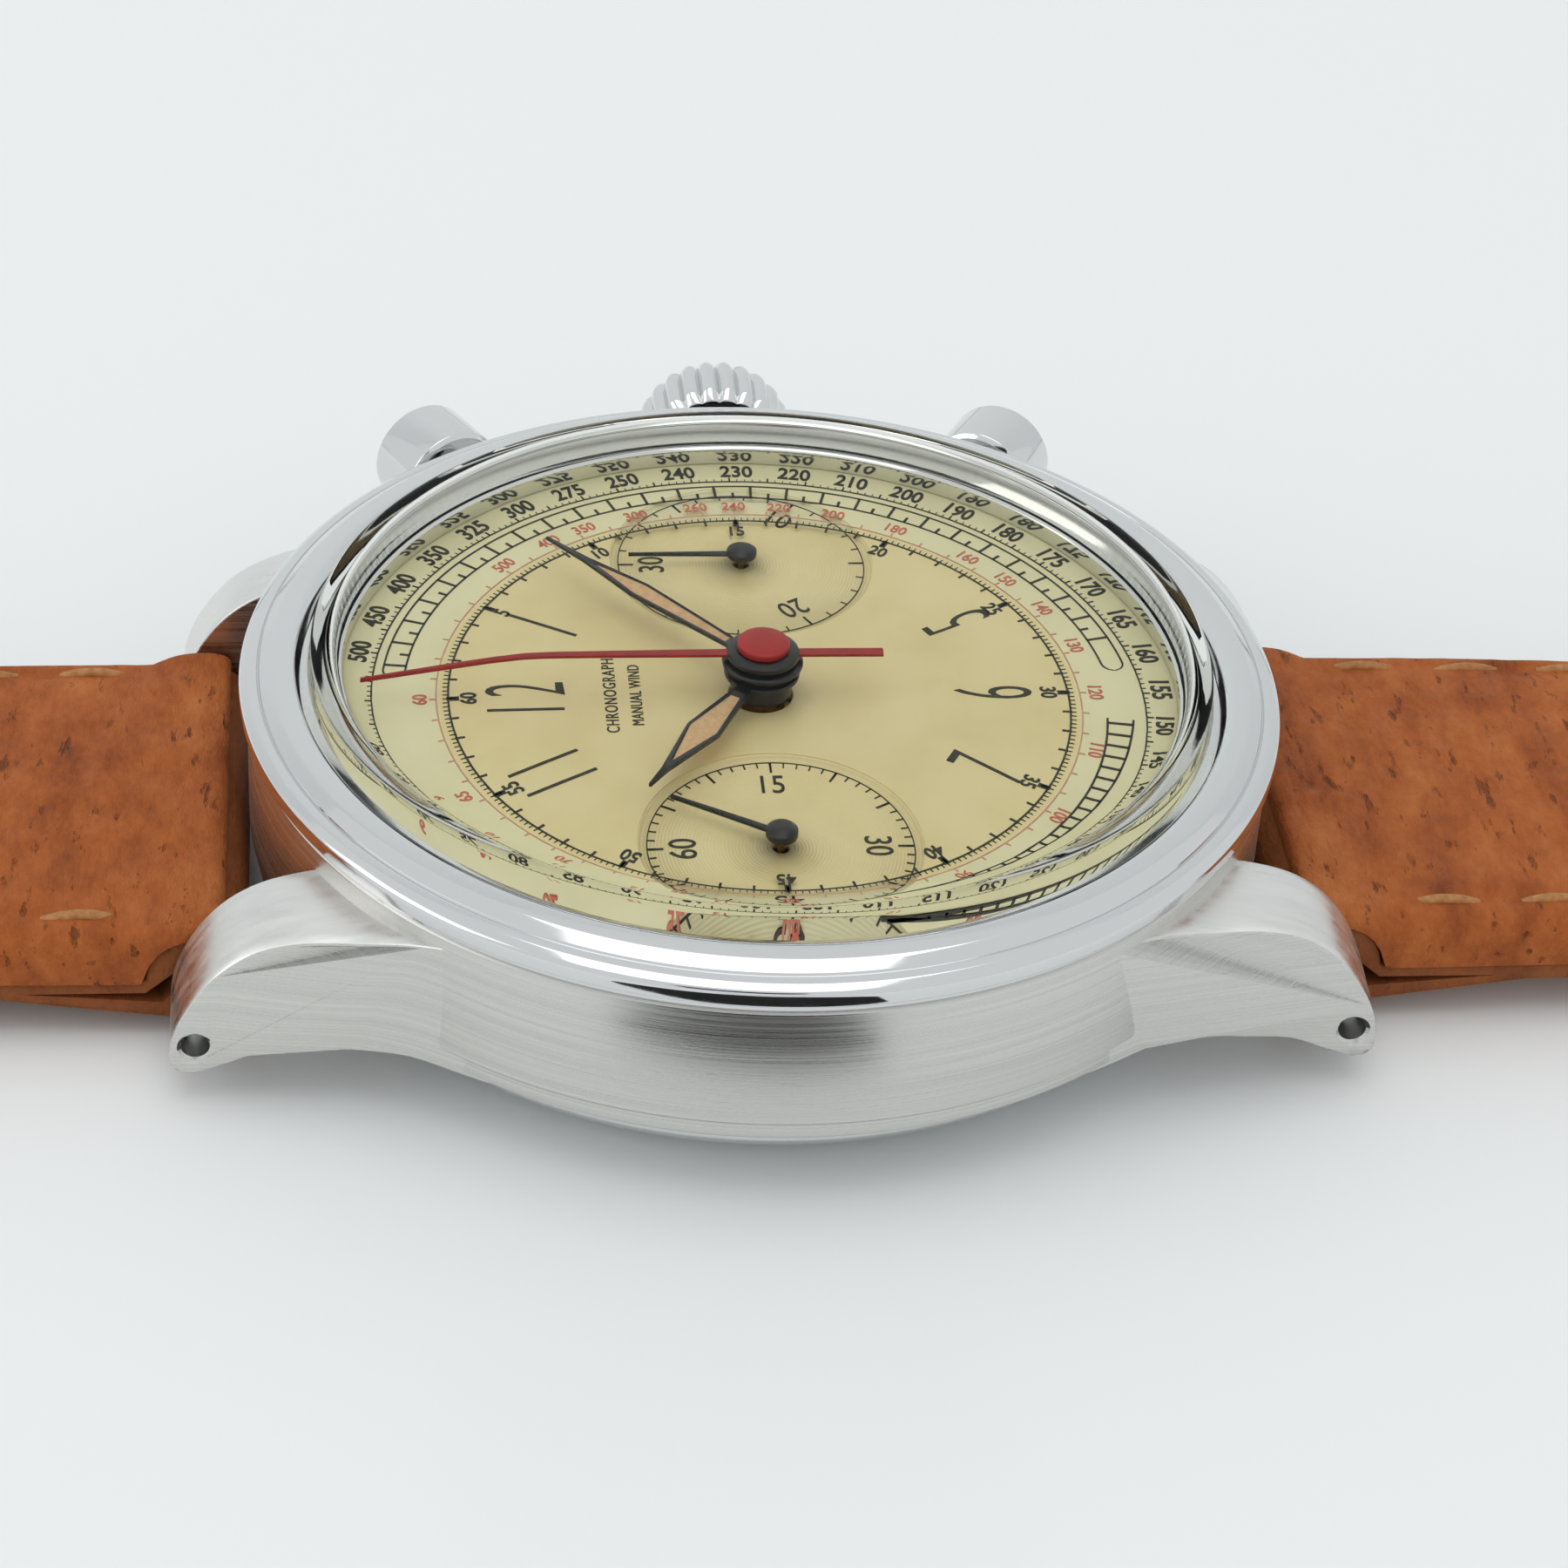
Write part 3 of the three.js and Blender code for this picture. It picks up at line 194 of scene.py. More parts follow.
# A scale is in repeats per metre, so 13000 draws a brushing line about 0.08 mm wide.
round_grain = brushed_steel("steel_brushed_round", (40, 40, 13000), 0.004)
long_grain = brushed_steel("steel_satin_lug", (2200, 150, 900), 0.001, "#E2E2DF", "#EAEAE7", 0.3)
mirror_steel = polished_steel("steel_polished")
soft_mirror = polished_steel("steel_polished_worn", roughness=0.14)
print("steel:", round_grain.name, long_grain.name, mirror_steel.name)

# %% [markdown]
# ## Movement metals
# Nothing of the movement shows while the case is shut, but the parts are real. Plates and wheels are brass,
# some gilt and some rhodium washed; levers, pinions and screws are grey grained steel.

# %% Movement brass and steel
def grained_metal(name, low, high, roughness, scale):
    material, tree, shader = new_material(name, Metallic=1.0)
    grain = clouds(tree, (scale, scale, scale), 4)
    into(tree, blended(tree, grain, (0.35, low), (0.65, high)), shader, "Base Color")
    into(tree, ranged(tree, grain, roughness, roughness + 0.15, 0.3, 0.7), shader, "Roughness")
    bumped(tree, shader, grain, 0.003)
    return material


gilt_brass = grained_metal("brass_gilt_grained", "#B8903F", "#D0AC5C", 0.25, 4000)
movement_steel = grained_metal("steel_movement_grained", "#9C9DA0", "#BFC0C2", 0.22, 5000)
rubber, rubber_tree, rubber_shader = new_material("rubber_gasket", Roughness=0.8)
rubber_mottle = clouds(rubber_tree, (3000, 3000, 3000))
into(rubber_tree, blended(rubber_tree, rubber_mottle, (0.3, "#141415"), (0.7, "#242426")),
     rubber_shader, "Base Color")
print("movement:", gilt_brass.name, movement_steel.name)

# %% [markdown]
# ## Crystal
# The crystal is a domed disc of acrylic, pressed in under the bezel. Acrylic bends light with an index of
# 1.49, so its wall shows the dial's edge twice, and a polished one is perfectly clear. Its reflections are
# held down, as a polarising filter on the lens would do, by mixing in a surface that only bends the light.
# Inside the wall, where all the light turns back, the full surface is kept.

# %% Acrylic
ACRYLIC_IOR = 1.49
acrylic, acrylic_tree, acrylic_shader = new_material(
    "acrylic_crystal", Roughness=0.0, IOR=ACRYLIC_IOR, Transmission_Weight=1.0)
acrylic_shader.inputs["Base Color"].default_value = linear("#FDFDFB")
acrylic_shader.inputs["Specular Tint"].default_value = linear("#5A5A5A")
clear = add(acrylic_tree, "ShaderNodeBsdfRefraction",
            {"Color": linear("#FDFDFB"), "Roughness": 0.0, "IOR": ACRYLIC_IOR})
shine = add(acrylic_tree, "ShaderNodeFresnel", {"IOR": ACRYLIC_IOR})
bent = ranged(acrylic_tree, shine.outputs[0], 0.85, 0.0, 0.3, 0.8)
filtered = add(acrylic_tree, "ShaderNodeMixShader", {"Fac": bent})
acrylic_tree.links.new(acrylic_shader.outputs[0], filtered.inputs[1])
acrylic_tree.links.new(clear.outputs[0], filtered.inputs[2])
acrylic_output = next(n for n in acrylic_tree.nodes if n.type == "OUTPUT_MATERIAL")
acrylic_tree.links.new(filtered.outputs[0], acrylic_output.inputs["Surface"])
print("crystal:", acrylic.name)

# %% [markdown]
# ## Dial lacquer
# An eighty-year-old dial: cream lacquer over silvered brass, yellowed and mottled, with a greener ring where
# the outer scales are printed. The colour ring follows the distance from the middle, because the real
# ring was masked and sprayed on a turntable. Each sub-dial is cut with fine rings, 0.12 mm apart.

# %% Lacquer
SUBDIAL_X = 8.4
RING_INNER = 11.45


def ring_distance(tree, x_mm):
    """Distance from the axis of a dial or sub-dial, in metres."""
    where = add(tree, "ShaderNodeTexCoord").outputs["Object"]
    centred = add(tree, "ShaderNodeVectorMath", {0: where, 1: (x_mm * MM, 0, 0)},
                  operation="SUBTRACT").outputs[0]
    flat = add(tree, "ShaderNodeVectorMath", {0: centred, 1: (1, 1, 0)}, operation="MULTIPLY").outputs[0]
    return add(tree, "ShaderNodeVectorMath", {0: flat}, operation="LENGTH").outputs["Value"]


def mixed(tree, factor, first, second):
    node = add(tree, "ShaderNodeMix", data_type="RGBA")
    tree.links.new(factor, node.inputs[0])
    tree.links.new(first, node.inputs[6])
    tree.links.new(second, node.inputs[7])
    return node.outputs[2]


def dial_lacquer(name, groove_x=None):
    material, tree, shader = new_material(name, Roughness=0.42)
    shader.inputs["Coat Weight"].default_value = 0.25
    shader.inputs["Coat Roughness"].default_value = 0.2
    patina = clouds(tree, (260, 260, 260), 5, 0.6)
    cream = blended(tree, patina, (0.25, "#EBD99E"), (0.5, "#F3E2A8"), (0.75, "#F8E9B4"))
    green = blended(tree, patina, (0.25, "#ECE6B8"), (0.5, "#F4EEC0"), (0.75, "#F8F3C9"))
    in_ring = ranged(tree, ring_distance(tree, 0), 0, 1, (RING_INNER - 0.1) * MM, RING_INNER * MM)
    into(tree, mixed(tree, in_ring, cream, green), shader, "Base Color")
    grain = clouds(tree, (9000, 9000, 9000), 2)
    normal = bumped(tree, shader, grain, 0.003)
    if groove_x is not None:
        turns = add(tree, "ShaderNodeMath", {0: ring_distance(tree, groove_x), 1: 2 * math.pi / (0.12 * MM)},
                    operation="MULTIPLY").outputs[0]
        rings = add(tree, "ShaderNodeMath", {0: turns}, operation="SINE").outputs[0]
        bumped(tree, shader, rings, 0.006, 0.6, normal)
    return material


lacquer = dial_lacquer("lacquer_cream")
lacquer_9 = dial_lacquer("lacquer_cream_ringed_9", -SUBDIAL_X)
lacquer_3 = dial_lacquer("lacquer_cream_ringed_3", SUBDIAL_X)
print("dial:", lacquer.name)

# %% [markdown]
# ## Inks, enamel and lume
# The scales are pad-printed in a dark olive ink and a faded orange-red one. Hands are blackened steel with a
# salmon luminous paste, and the chronograph hand is lacquered red. Each gets a little unevenness.

# %% Inks and hand finishes
def uneven(name, low, high, roughness, scale, depth_mm, **values):
    material, tree, shader = new_material(name, Roughness=roughness, **values)
    mottle = clouds(tree, (scale, scale, scale), 4)
    into(tree, blended(tree, mottle, (0.3, low), (0.7, high)), shader, "Base Color")
    bumped(tree, shader, mottle, depth_mm)
    return material


black_ink = uneven("ink_olive_black", "#2A2B22", "#3A3A2E", 0.55, 2500, 0.001)
red_ink = uneven("ink_orange_red", "#CC6450", "#DC8672", 0.55, 2500, 0.001)
faded_red_ink = uneven("ink_orange_faded", "#D69A7C", "#DDB394", 0.55, 2500, 0.001)
black_enamel = uneven("enamel_black_hands", "#0C0D0F", "#17181A", 0.22, 900, 0.001)
lume = uneven("lume_salmon", "#DDB080", "#EECBA0", 0.8, 5000, 0.008)
red_lacquer = uneven("lacquer_red_hand", "#980F0C", "#AE1814", 0.35, 1200, 0.001)
red_cap = uneven("lacquer_red_cap", "#A8100F", "#BE1A1A", 0.35, 1200, 0.002)
print("inks:", black_ink.name, red_ink.name)

# %% [markdown]
# ## Leather
# The strap is rough brown calf. Three things give it away: soft cloudy colour, short creases that run across
# the strap, and small pits where the grain has opened, sunk by a bump and coloured darker as painted shade.
# The lining is smooth tan calf, the thread is waxed linen, twisted from two plies.

# %% Leather and thread
def leather(name, dark, middle, light, pit_depth_mm, pit_shade_colour="#4E2410"):
    material, tree, shader = new_material(name, Roughness=0.62)
    shader.inputs["Specular IOR Level"].default_value = 0.22
    cloud = clouds(tree, (240, 420, 300), 8, 0.72)
    base = blended(tree, cloud, (0.3, dark), (0.5, middle), (0.72, light))
    creases = clouds(tree, (420, 1100, 900), 6, 0.72)
    pits_field = clouds(tree, (620, 1900, 1500), 4, 0.6)
    pits = ranged(tree, pits_field, 0.6, 0, 0.27, 0.38)
    # Painted shade: the pits are coloured darker as well as sunk by the bump.
    pit = blended(tree, pits_field, (0.0, pit_shade_colour), (1.0, pit_shade_colour))
    into(tree, mixed(tree, pits, base, pit), shader, "Base Color")
    into(tree, ranged(tree, creases, 0.5, 0.78, 0.3, 0.7), shader, "Roughness")
    grain = bumped(tree, shader, creases, 0.22)
    fine = bumped(tree, shader, clouds(tree, (6000, 6000, 6000), 3), 0.02, 1, grain)
    bumped(tree, shader, pits, -pit_depth_mm, 1, fine)
    return material


strap_leather = leather("leather_rough_calf", "#7E3C18", "#A65826", "#BE7038", 0.2)
lining_leather = leather("leather_smooth_lining", "#74401F", "#8E5029", "#A26236", 0.03, "#5A331C")
thread = uneven("thread_waxed_linen", "#9C6638", "#BC8650", 0.75, 4000, 0.03)
print("leather:", strap_leather.name, "thread:", thread.name)

# %% [markdown]
# ## Turned parts
# Most of the case is turned on a lathe: a profile of (radius, height) spun about an axis. Real turned edges
# are never sharp, so every corner of a profile is rounded here before it is spun, and it is the small round
# that catches the light. One frame function says where the axis stands and which way it points.

# %% Mesh and lathe helpers
def mesh_object(name, points, faces, material, smooth=True):
    """Points in mm; the faces are turned to face outwards."""
    mesh = bpy.data.meshes.new(name)
    mesh.from_pydata([tuple(c * MM for c in p) for p in points], [], faces)
    solid = bmesh.new()
    solid.from_mesh(mesh)
    bmesh.ops.remove_doubles(solid, verts=solid.verts, dist=0.0005 * MM)
    bmesh.ops.recalc_face_normals(solid, faces=solid.faces)
    solid.to_mesh(mesh)
    solid.free()
    mesh.materials.append(material)
    for polygon in mesh.polygons:
        polygon.use_smooth = smooth
    made = bpy.data.objects.new(name, mesh)
    scene.collection.objects.link(made)
    return made


def frame_at(origin, axis, start):
    """Columns: start direction, third direction, axis; then the origin. All in mm."""
    axis = Vector(axis).normalized()
    first = (Vector(start) - Vector(start).dot(axis) * axis).normalized()
    second = axis.cross(first)
    return Matrix(((first.x, second.x, axis.x, origin[0]), (first.y, second.y, axis.y, origin[1]),
                   (first.z, second.z, axis.z, origin[2]), (0, 0, 0, 1)))


UPRIGHT = Matrix.Identity(4)


def rounded(profile, radius, steps=3, closed=True):
    """Round each corner of a closed profile. A corner's own third number overrides the radius."""
    result = []
    count = len(profile)
    for i, corner in enumerate(profile):
        own = corner[2] if len(corner) > 2 else radius
        here = Vector(corner[:2])
        if own == 0 or (not closed and i in (0, count - 1)):
            result.append(tuple(here))
            continue
        before = Vector(profile[i - 1][:2]) - here
        after = Vector(profile[(i + 1) % count][:2]) - here
        turn = before.angle(after, math.pi)
        reach = min(own / math.tan(turn / 2), before.length * 0.45, after.length * 0.45)
        start, end = here + before.normalized() * reach, here + after.normalized() * reach
        for step in range(steps + 1):
            t = step / steps
            result.append(tuple(start * (1 - t) ** 2 + here * 2 * t * (1 - t) + end * t ** 2))
    return result


def lathe(name, profile, material, segments=160, placement=UPRIGHT, radius_at=None):
    """Spin a closed profile; points on the axis become one point. radius_at(angle, r, z) can flute it."""
    points, faces, rings = [], [], []
    for r, z in profile:
        if r < 1e-6:
            rings.append([len(points)] * segments)
            points.append(placement @ Vector((0, 0, z)))
            continue
        rings.append(list(range(len(points), len(points) + segments)))
        for i in range(segments):
            angle = 2 * math.pi * i / segments
            here = r if radius_at is None else radius_at(angle, r, z)
            points.append(placement @ Vector((here * math.cos(angle), here * math.sin(angle), z)))
    for a, b in zip(rings, rings[1:] + rings[:1]):
        for i in range(segments):
            j = (i + 1) % segments
            corners = [a[i], a[j], b[j], b[i]]
            corners = [c for k, c in enumerate(corners) if c not in corners[:k]]
            if len(corners) > 2:
                faces.append(corners)
    return mesh_object(name, points, faces, material)


def sharpen(made, degrees=35):
    """Flat faces keep flat shading where two meet at more than this angle."""
    made.data.set_sharp_from_angle(angle=math.radians(degrees))
    return made


def extruded(name, outline, low, high, material, bevel=0.05, placement=UPRIGHT, segments=2):
    """A flat outline in mm made into a plate between two heights, its edges rounded by the bevel."""
    count = len(outline)
    points = [placement @ Vector((x, y, low)) for x, y in outline]
    points += [placement @ Vector((x, y, high)) for x, y in outline]
    faces = [list(range(count))[::-1], list(range(count, 2 * count))]
    faces += [[i, (i + 1) % count, count + (i + 1) % count, count + i] for i in range(count)]
    made = mesh_object(name, points, faces, material)
    return bevelled(made, bevel, segments)


def bevelled(made, width, segments=2, degrees=30):
    if width > 0:
        edge = made.modifiers.new("edge", "BEVEL")
        edge.width, edge.segments, edge.limit_method = width * MM, segments, "ANGLE"
        edge.angle_limit = math.radians(degrees)
        edge.harden_normals = True
        applied(made)
    return sharpen(made)


def applied(made):
    """Turn what the modifiers give into the object's own mesh."""
    bpy.context.view_layer.update()
    result = bpy.data.meshes.new_from_object(made.evaluated_get(bpy.context.evaluated_depsgraph_get()))
    made.modifiers.clear()
    old = made.data
    made.data = result
    result.name = old.name
    return made


def cut(made, *tools):
    """Bore or slice with other solids, which are then thrown away."""
    for tool in tools:
        change = made.modifiers.new("cut", "BOOLEAN")
        change.object, change.operation, change.solver = tool, "DIFFERENCE", "EXACT"
        applied(made)
        bpy.data.objects.remove(tool)
    return made


def joined(name, parts):
    """One object from several, with every material kept."""
    whole = bmesh.new()
    materials = []
    for part in parts:
        slots = []
        for material in part.data.materials:
            if material not in materials:
                materials.append(material)
            slots.append(materials.index(material))
        first = len(whole.faces)
        whole.from_mesh(part.data)
        whole.faces.ensure_lookup_table()
        for face in whole.faces[first:]:
            face.material_index = slots[face.material_index] if slots else 0
    mesh = bpy.data.meshes.new(name)
    whole.to_mesh(mesh)
    whole.free()
    for material in materials:
        mesh.materials.append(material)
    for part in parts:
        bpy.data.objects.remove(part)
    made = bpy.data.objects.new(name, mesh)
    scene.collection.objects.link(made)
    return made


def place(made, body, slot, *nodes):
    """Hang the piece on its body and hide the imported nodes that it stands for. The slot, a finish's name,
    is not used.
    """
    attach(made, body)
    if nodes:
        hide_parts(*nodes)
    print(made.name, "on", body, len(made.data.polygons), "faces")
    return made


print("lathe ready")

# %% [markdown]
# ## Case middle
# The case middle is a turned ring with four lugs brazed to it. The ring is drawn along a belt, so its grain
# runs round. The lugs are forged, filed to a curved back and drilled right through for the spring bars.

# %% The turned ring
RING = [(15.75, 2.3), (18.08, 2.3), (18.3, 2.5), (18.3, 3.02, 0.02), (18.37, 3.1, 0.02), (18.45, 3.2),
        (18.45, 7.85), (18.25, 8.0), (17.55, 8.0), (17.55, 8.7), (17.0, 8.7), (17.0, 8.0), (16.25, 8.0),
        (16.25, 7.7), (15.75, 7.7)]
case_ring = lathe("case_ring", rounded(RING, 0.06), round_grain, 192)
print("ring:", len(case_ring.data.polygons), "faces")

# %% [markdown]
# A lug is one side profile, seen from 9 o'clock, made into a block 3.3 mm thick at its end and wider where
# it runs into the ring. Its outer side is lower than the inner one, so the top slopes outwards and meets the
# side in a clear edge.

# %% Lugs
LUG_INNER, LUG_OUTER = 9.0, 12.3
BAR_Y, BAR_Z = 20.2, 1.9
# Along the lug, height of its inner edge, height of its outer edge, distance of its outer face.
LUG_TOP = [(9.96, 7.9, 7.9, 15.2), (11.46, 7.75, 7.55, 14.4), (12.96, 7.45, 7.15, 13.55),
           (14.56, 7.2, 6.75, 12.95), (16.36, 6.95, 6.45, 12.5), (17.9, 6.5, 6.0, 12.3),
           (19.1, 5.75, 5.25, 12.3), (20.0, 4.75, 4.25, 12.3), (20.7, 3.5, 3.05, 12.3),
           (21.05, 2.3, 1.95, 12.3), (21.05, 1.2, 1.1, 12.3), (20.75, 0.8, 0.75, 12.3)]
LUG_FOOT = [(20.3, 0.8, 0.7, 12.3), (19.2, 1.35, 1.1, 12.3), (18.0, 1.85, 1.55, 12.3),
            (16.36, 2.1, 1.75, 12.45), (14.9, 2.25, 2.05, 12.8), (12.96, 2.3, 2.3, 13.5),
            (11.46, 2.3, 2.3, 14.35), (9.96, 2.3, 2.3, 15.2)]


def smooth_line(points, steps=5):
    """A Catmull-Rom curve through the points, ends kept."""
    result = []
    for i in range(len(points) - 1):
        p0, p1 = Vector(points[max(i - 1, 0)]), Vector(points[i])
        p2, p3 = Vector(points[i + 1]), Vector(points[min(i + 2, len(points) - 1)])
        for step in range(steps):
            t = step / steps
            result.append(tuple(0.5 * (2 * p1 + (p2 - p0) * t + (2 * p0 - 5 * p1 + 4 * p2 - p3) * t * t
                                       + (3 * p1 - p0 - 3 * p2 + p3) * t ** 3)))
    return result + [tuple(points[-1])]


def lug(x_sign, y_sign):
    edges = smooth_line(LUG_TOP, 4) + smooth_line(LUG_FOOT, 3)
    count, columns = len(edges), 8
    points, faces = [], []
    for c in range(columns + 1):
        share = c / columns
        for y, inner_z, outer_z, face in edges:
            x = LUG_INNER + (face - LUG_INNER) * share
            points.append((x_sign * x, y_sign * y, inner_z + (outer_z - inner_z) * share ** 1.6))
    for c in range(columns):
        for i in range(count):
            j = (i + 1) % count
            faces.append([c * count + i, c * count + j, (c + 1) * count + j, (c + 1) * count + i])
    faces += [list(range(count)), list(range(columns * count, (columns + 1) * count))]
    block = bevelled(mesh_object("lug", points, faces, long_grain), 0.12, 3, 40)
    hole = frame_at((x_sign * 8, y_sign * BAR_Y, BAR_Z), (x_sign, 0, 0), (0, 0, 1))
    drill = lathe("drill", [(0, 0), (0.5, 0), (0.5, 6), (0, 6)], long_grain, 32, hole)
    mouth = frame_at((x_sign * (LUG_OUTER - 0.1), y_sign * BAR_Y, BAR_Z), (x_sign, 0, 0), (0, 0, 1))
    sink = lathe("sink", [(0, 0), (0.5, 0), (0.62, 0.12), (0.62, 1), (0, 1)], long_grain, 32, mouth)
    ring_room = lathe("room", [(0, 0), (18.2, 0), (18.2, 9), (0, 9)], long_grain, 192)
    block = sharpen(cut(block, drill, sink, ring_room), 38)
    block.data.materials.append(round_grain)
    for polygon in block.data.polygons:
        polygon.material_index = 1 if abs(polygon.normal.x) > 0.55 else 0
    weight = block.modifiers.new("weight", "WEIGHTED_NORMAL")
    weight.keep_sharp = True
    weight.weight = 80
    return applied(block)


lugs = [lug(sx, sy) for sx in (-1, 1) for sy in (-1, 1)]
place(joined("case_middle_visual", [case_ring, *lugs]), "case", "brushed_case_steel", "case_middle")

# %% [markdown]
# ## Bezel, crystal and back
# The bezel presses down over the crystal. A fine turned line parts its convex top from a round outer edge,
# and both are polished, so each mirrors the whole room in one narrow band. The crystal is a straight wall
# that turns into a shallow dome.

# %% Bezel and crystal
BEZEL = [(16.25, 8.0), (16.95, 8.0), (16.95, 8.75), (17.6, 8.75), (17.6, 8.0), (18.45, 8.0), (18.47, 8.22),
         (18.72, 8.36, 0.1), (18.75, 8.9, 0.3), (18.42, 9.12, 0.25), (18.12, 9.18, 0.02),
         (18.06, 9.1, 0.02), (18.0, 9.24, 0.02), (17.6, 9.5, 0.6), (16.9, 9.62, 0.5), (16.28, 9.28, 0.15)]
bezel = lathe("bezel_visual", rounded(BEZEL, 0.05, 6), mirror_steel, 256)
place(bezel, "case", "polished_steel", "bezel")

CRYSTAL_RADIUS, CRYSTAL_WALL = 16.2, 0.85
SHOULDER, TOP = 10.05, 12.0


def dome(radius, low, high, steps):
    """From the axis out to the shoulder, as a shallow ellipse with a tight round at its edge."""
    arc = []
    for i in range(steps + 1):
        angle = math.pi / 2 * (1 - i / steps)
        arc.append((radius * math.cos(angle), low + (high - low) * math.sin(angle)))
    return arc


outside = dome(CRYSTAL_RADIUS, SHOULDER, TOP, 28)
inside = dome(CRYSTAL_RADIUS - CRYSTAL_WALL, SHOULDER - 0.25, TOP - 1.2, 28)
crystal_profile = outside + [(CRYSTAL_RADIUS, 7.78), (CRYSTAL_RADIUS - 0.08, 7.7),
                             (CRYSTAL_RADIUS - CRYSTAL_WALL, 7.7)] + inside[::-1]
crystal_profile[0] = (0, TOP)
crystal_profile[-1] = (0, TOP - 1.2)
crystal = lathe("crystal_visual", crystal_profile, acrylic, 192)
place(crystal, "case", "acrylic_crystal", "crystal")

# %% [markdown]
# The tension ring is a thin polished hoop inside the crystal. It keeps the acrylic from slipping out and
# hides the dial's edge. The case back is a shallow pan, polished, that presses into the ring from below.

# %% Tension ring and back
TENSION = [(15.0, 7.62), (15.3, 7.62), (15.3, 8.4), (15.12, 8.4), (15.0, 8.3)]
tension_ring = lathe("tension_ring_visual", rounded(TENSION, 0.03), mirror_steel, 192)
place(tension_ring, "case", "polished_steel", "tension_ring")
BACK = [(0, 0), (14.6, 0, 0.15), (16.8, 0.9, 0.4), (17.2, 1.4, 0.2), (17.2, 2.3, 0.04), (15.7, 2.3, 0.04),
        (15.7, 3.1, 0.1), (15.0, 3.1, 0.1), (15.0, 0.8, 0.1), (0, 0.8)]
back_profile = rounded(BACK[1:-1], 0.05)
case_back = lathe("case_back_visual", [(0, 0)] + back_profile + [(0, 0.8)], soft_mirror, 160)
place(case_back, "case", "polished_steel", "case_back")

# %% [markdown]
# ## Crown and pushers
# The crown winds the spring, so its rim is fluted for the fingers. The flutes are cut with a round cutter
# and fade out where the crown curves over. The pushers are plain polished pistons with a crowned end.

# %% Crown
CROWN_FLUTES = 24
STEM_Z = 6.3
CROWN = [(0, 19.15), (2.7, 19.15, 0.1), (3.06, 19.55, 0.2), (3.12, 20.6, 0), (3.12, 21.2, 0),
         (2.95, 21.8, 0.25), (2.2, 22.2, 0.5), (0, 22.35)]
crown_profile = rounded(CROWN, 0.1, 3, closed=False)
fine_profile = []
for (r0, z0), (r1, z1) in zip(crown_profile, crown_profile[1:]):
    steps = max(1, int(math.hypot(r1 - r0, z1 - z0) / 0.25))
    fine_profile += [(r0 + (r1 - r0) * i / steps, z0 + (z1 - z0) * i / steps) for i in range(steps)]
fine_profile.append(crown_profile[-1])


def fluted(angle, r, z):
    share = max(0.0, min(1.0, (r - 2.6) / 0.35))
    wave = abs(math.sin(angle * CROWN_FLUTES / 2)) ** 0.7
    return r - 0.3 * share * (1 - wave)


crown = lathe("crown_visual", fine_profile, mirror_steel, 288,
              frame_at((0, 0, STEM_Z), (1, 0, 0), (0, 1, 0)), fluted)
place(sharpen(crown, 60), "crown", "polished_steel", "crown")

# %% Pushers and their tubes
PUSHER_ANGLE, PUSHER_Z = math.radians(29.5), 5.65
CAP = [(0, 21.2), (0.45, 21.2, 0), (1.9, 21.2, 0.1), (2.1, 21.35, 0.08), (2.1, 23.85, 0.2),
       (1.8, 24.12, 0.3), (0, 24.2)]
SLEEVE = [(0.52, 16.6), (1.1, 16.6), (1.1, 20.2), (0.52, 20.2)]
for name, body, angle in (("start_stop", "start_stop_pusher", PUSHER_ANGLE),
                          ("reset", "reset_pusher", -PUSHER_ANGLE)):
    direction = (math.cos(angle), math.sin(angle), 0)
    placement = frame_at((0, 0, PUSHER_Z), direction, (0, 0, 1))
    rod = [(0, 14.9), (0.42, 14.9), (0.44, 14.95), (0.44, 21.2), (0.5, 21.2)]
    piston = rod + rounded(CAP[1:], 0.05, 4, closed=False)[1:]
    cap = lathe(name + "_pusher_visual", piston, mirror_steel, 96, placement)
    place(sharpen(cap, 50), body, "polished_steel", name + "_pusher")
    sleeve = lathe(name + "_tube_visual", rounded(SLEEVE, 0.06), mirror_steel, 64, placement)
    place(sleeve, "case", "polished_steel", name + "_tube")

# %% [markdown]
# ## Spring bars
# Each end of the strap hangs on a sprung bar between two lugs. The bar is a thin tube with a collar near each
# end, where a fork tool grips it, and a pivot that springs out into the lug's hole.

# %% Spring bars
HALF_BAR = [(0.75, 0.0), (0.75, 7.6), (0.68, 7.62), (0.68, 7.9), (0.75, 7.92), (0.75, 8.1), (0.6, 8.14),
            (0.6, 8.5), (0.75, 8.54), (0.75, 8.7), (0.43, 8.7), (0.43, 10.28), (0.34, 10.4), (0, 10.4)]
bar_profile = [(r, -z) for r, z in HALF_BAR[::-1]] + HALF_BAR[1:]
for name, y in (("spring_bar_12", BAR_Y), ("spring_bar_6", -BAR_Y)):
    bar = lathe(name + "_visual", bar_profile, soft_mirror, 48,
                frame_at((0, y, BAR_Z), (1, 0, 0), (0, 0, 1)))
    place(sharpen(bar, 40), "case", "polished_steel", name)

# %% [markdown]
# ## Dial blank
# The dial is a stamped brass disc, lacquered, with two sunken sub-dials. The wall of a sub-dial is rounded by
# the lacquer, which is why it shows as a soft line. The disc is built flat in rings; the sub-dials are
# discs of their own in the same mesh, so that each can carry its turned grooves.

# %% Dial blank
DIAL_Z, SUBDIAL_RADIUS, SUBDIAL_DEPTH = 7.6, 4.85, 0.15


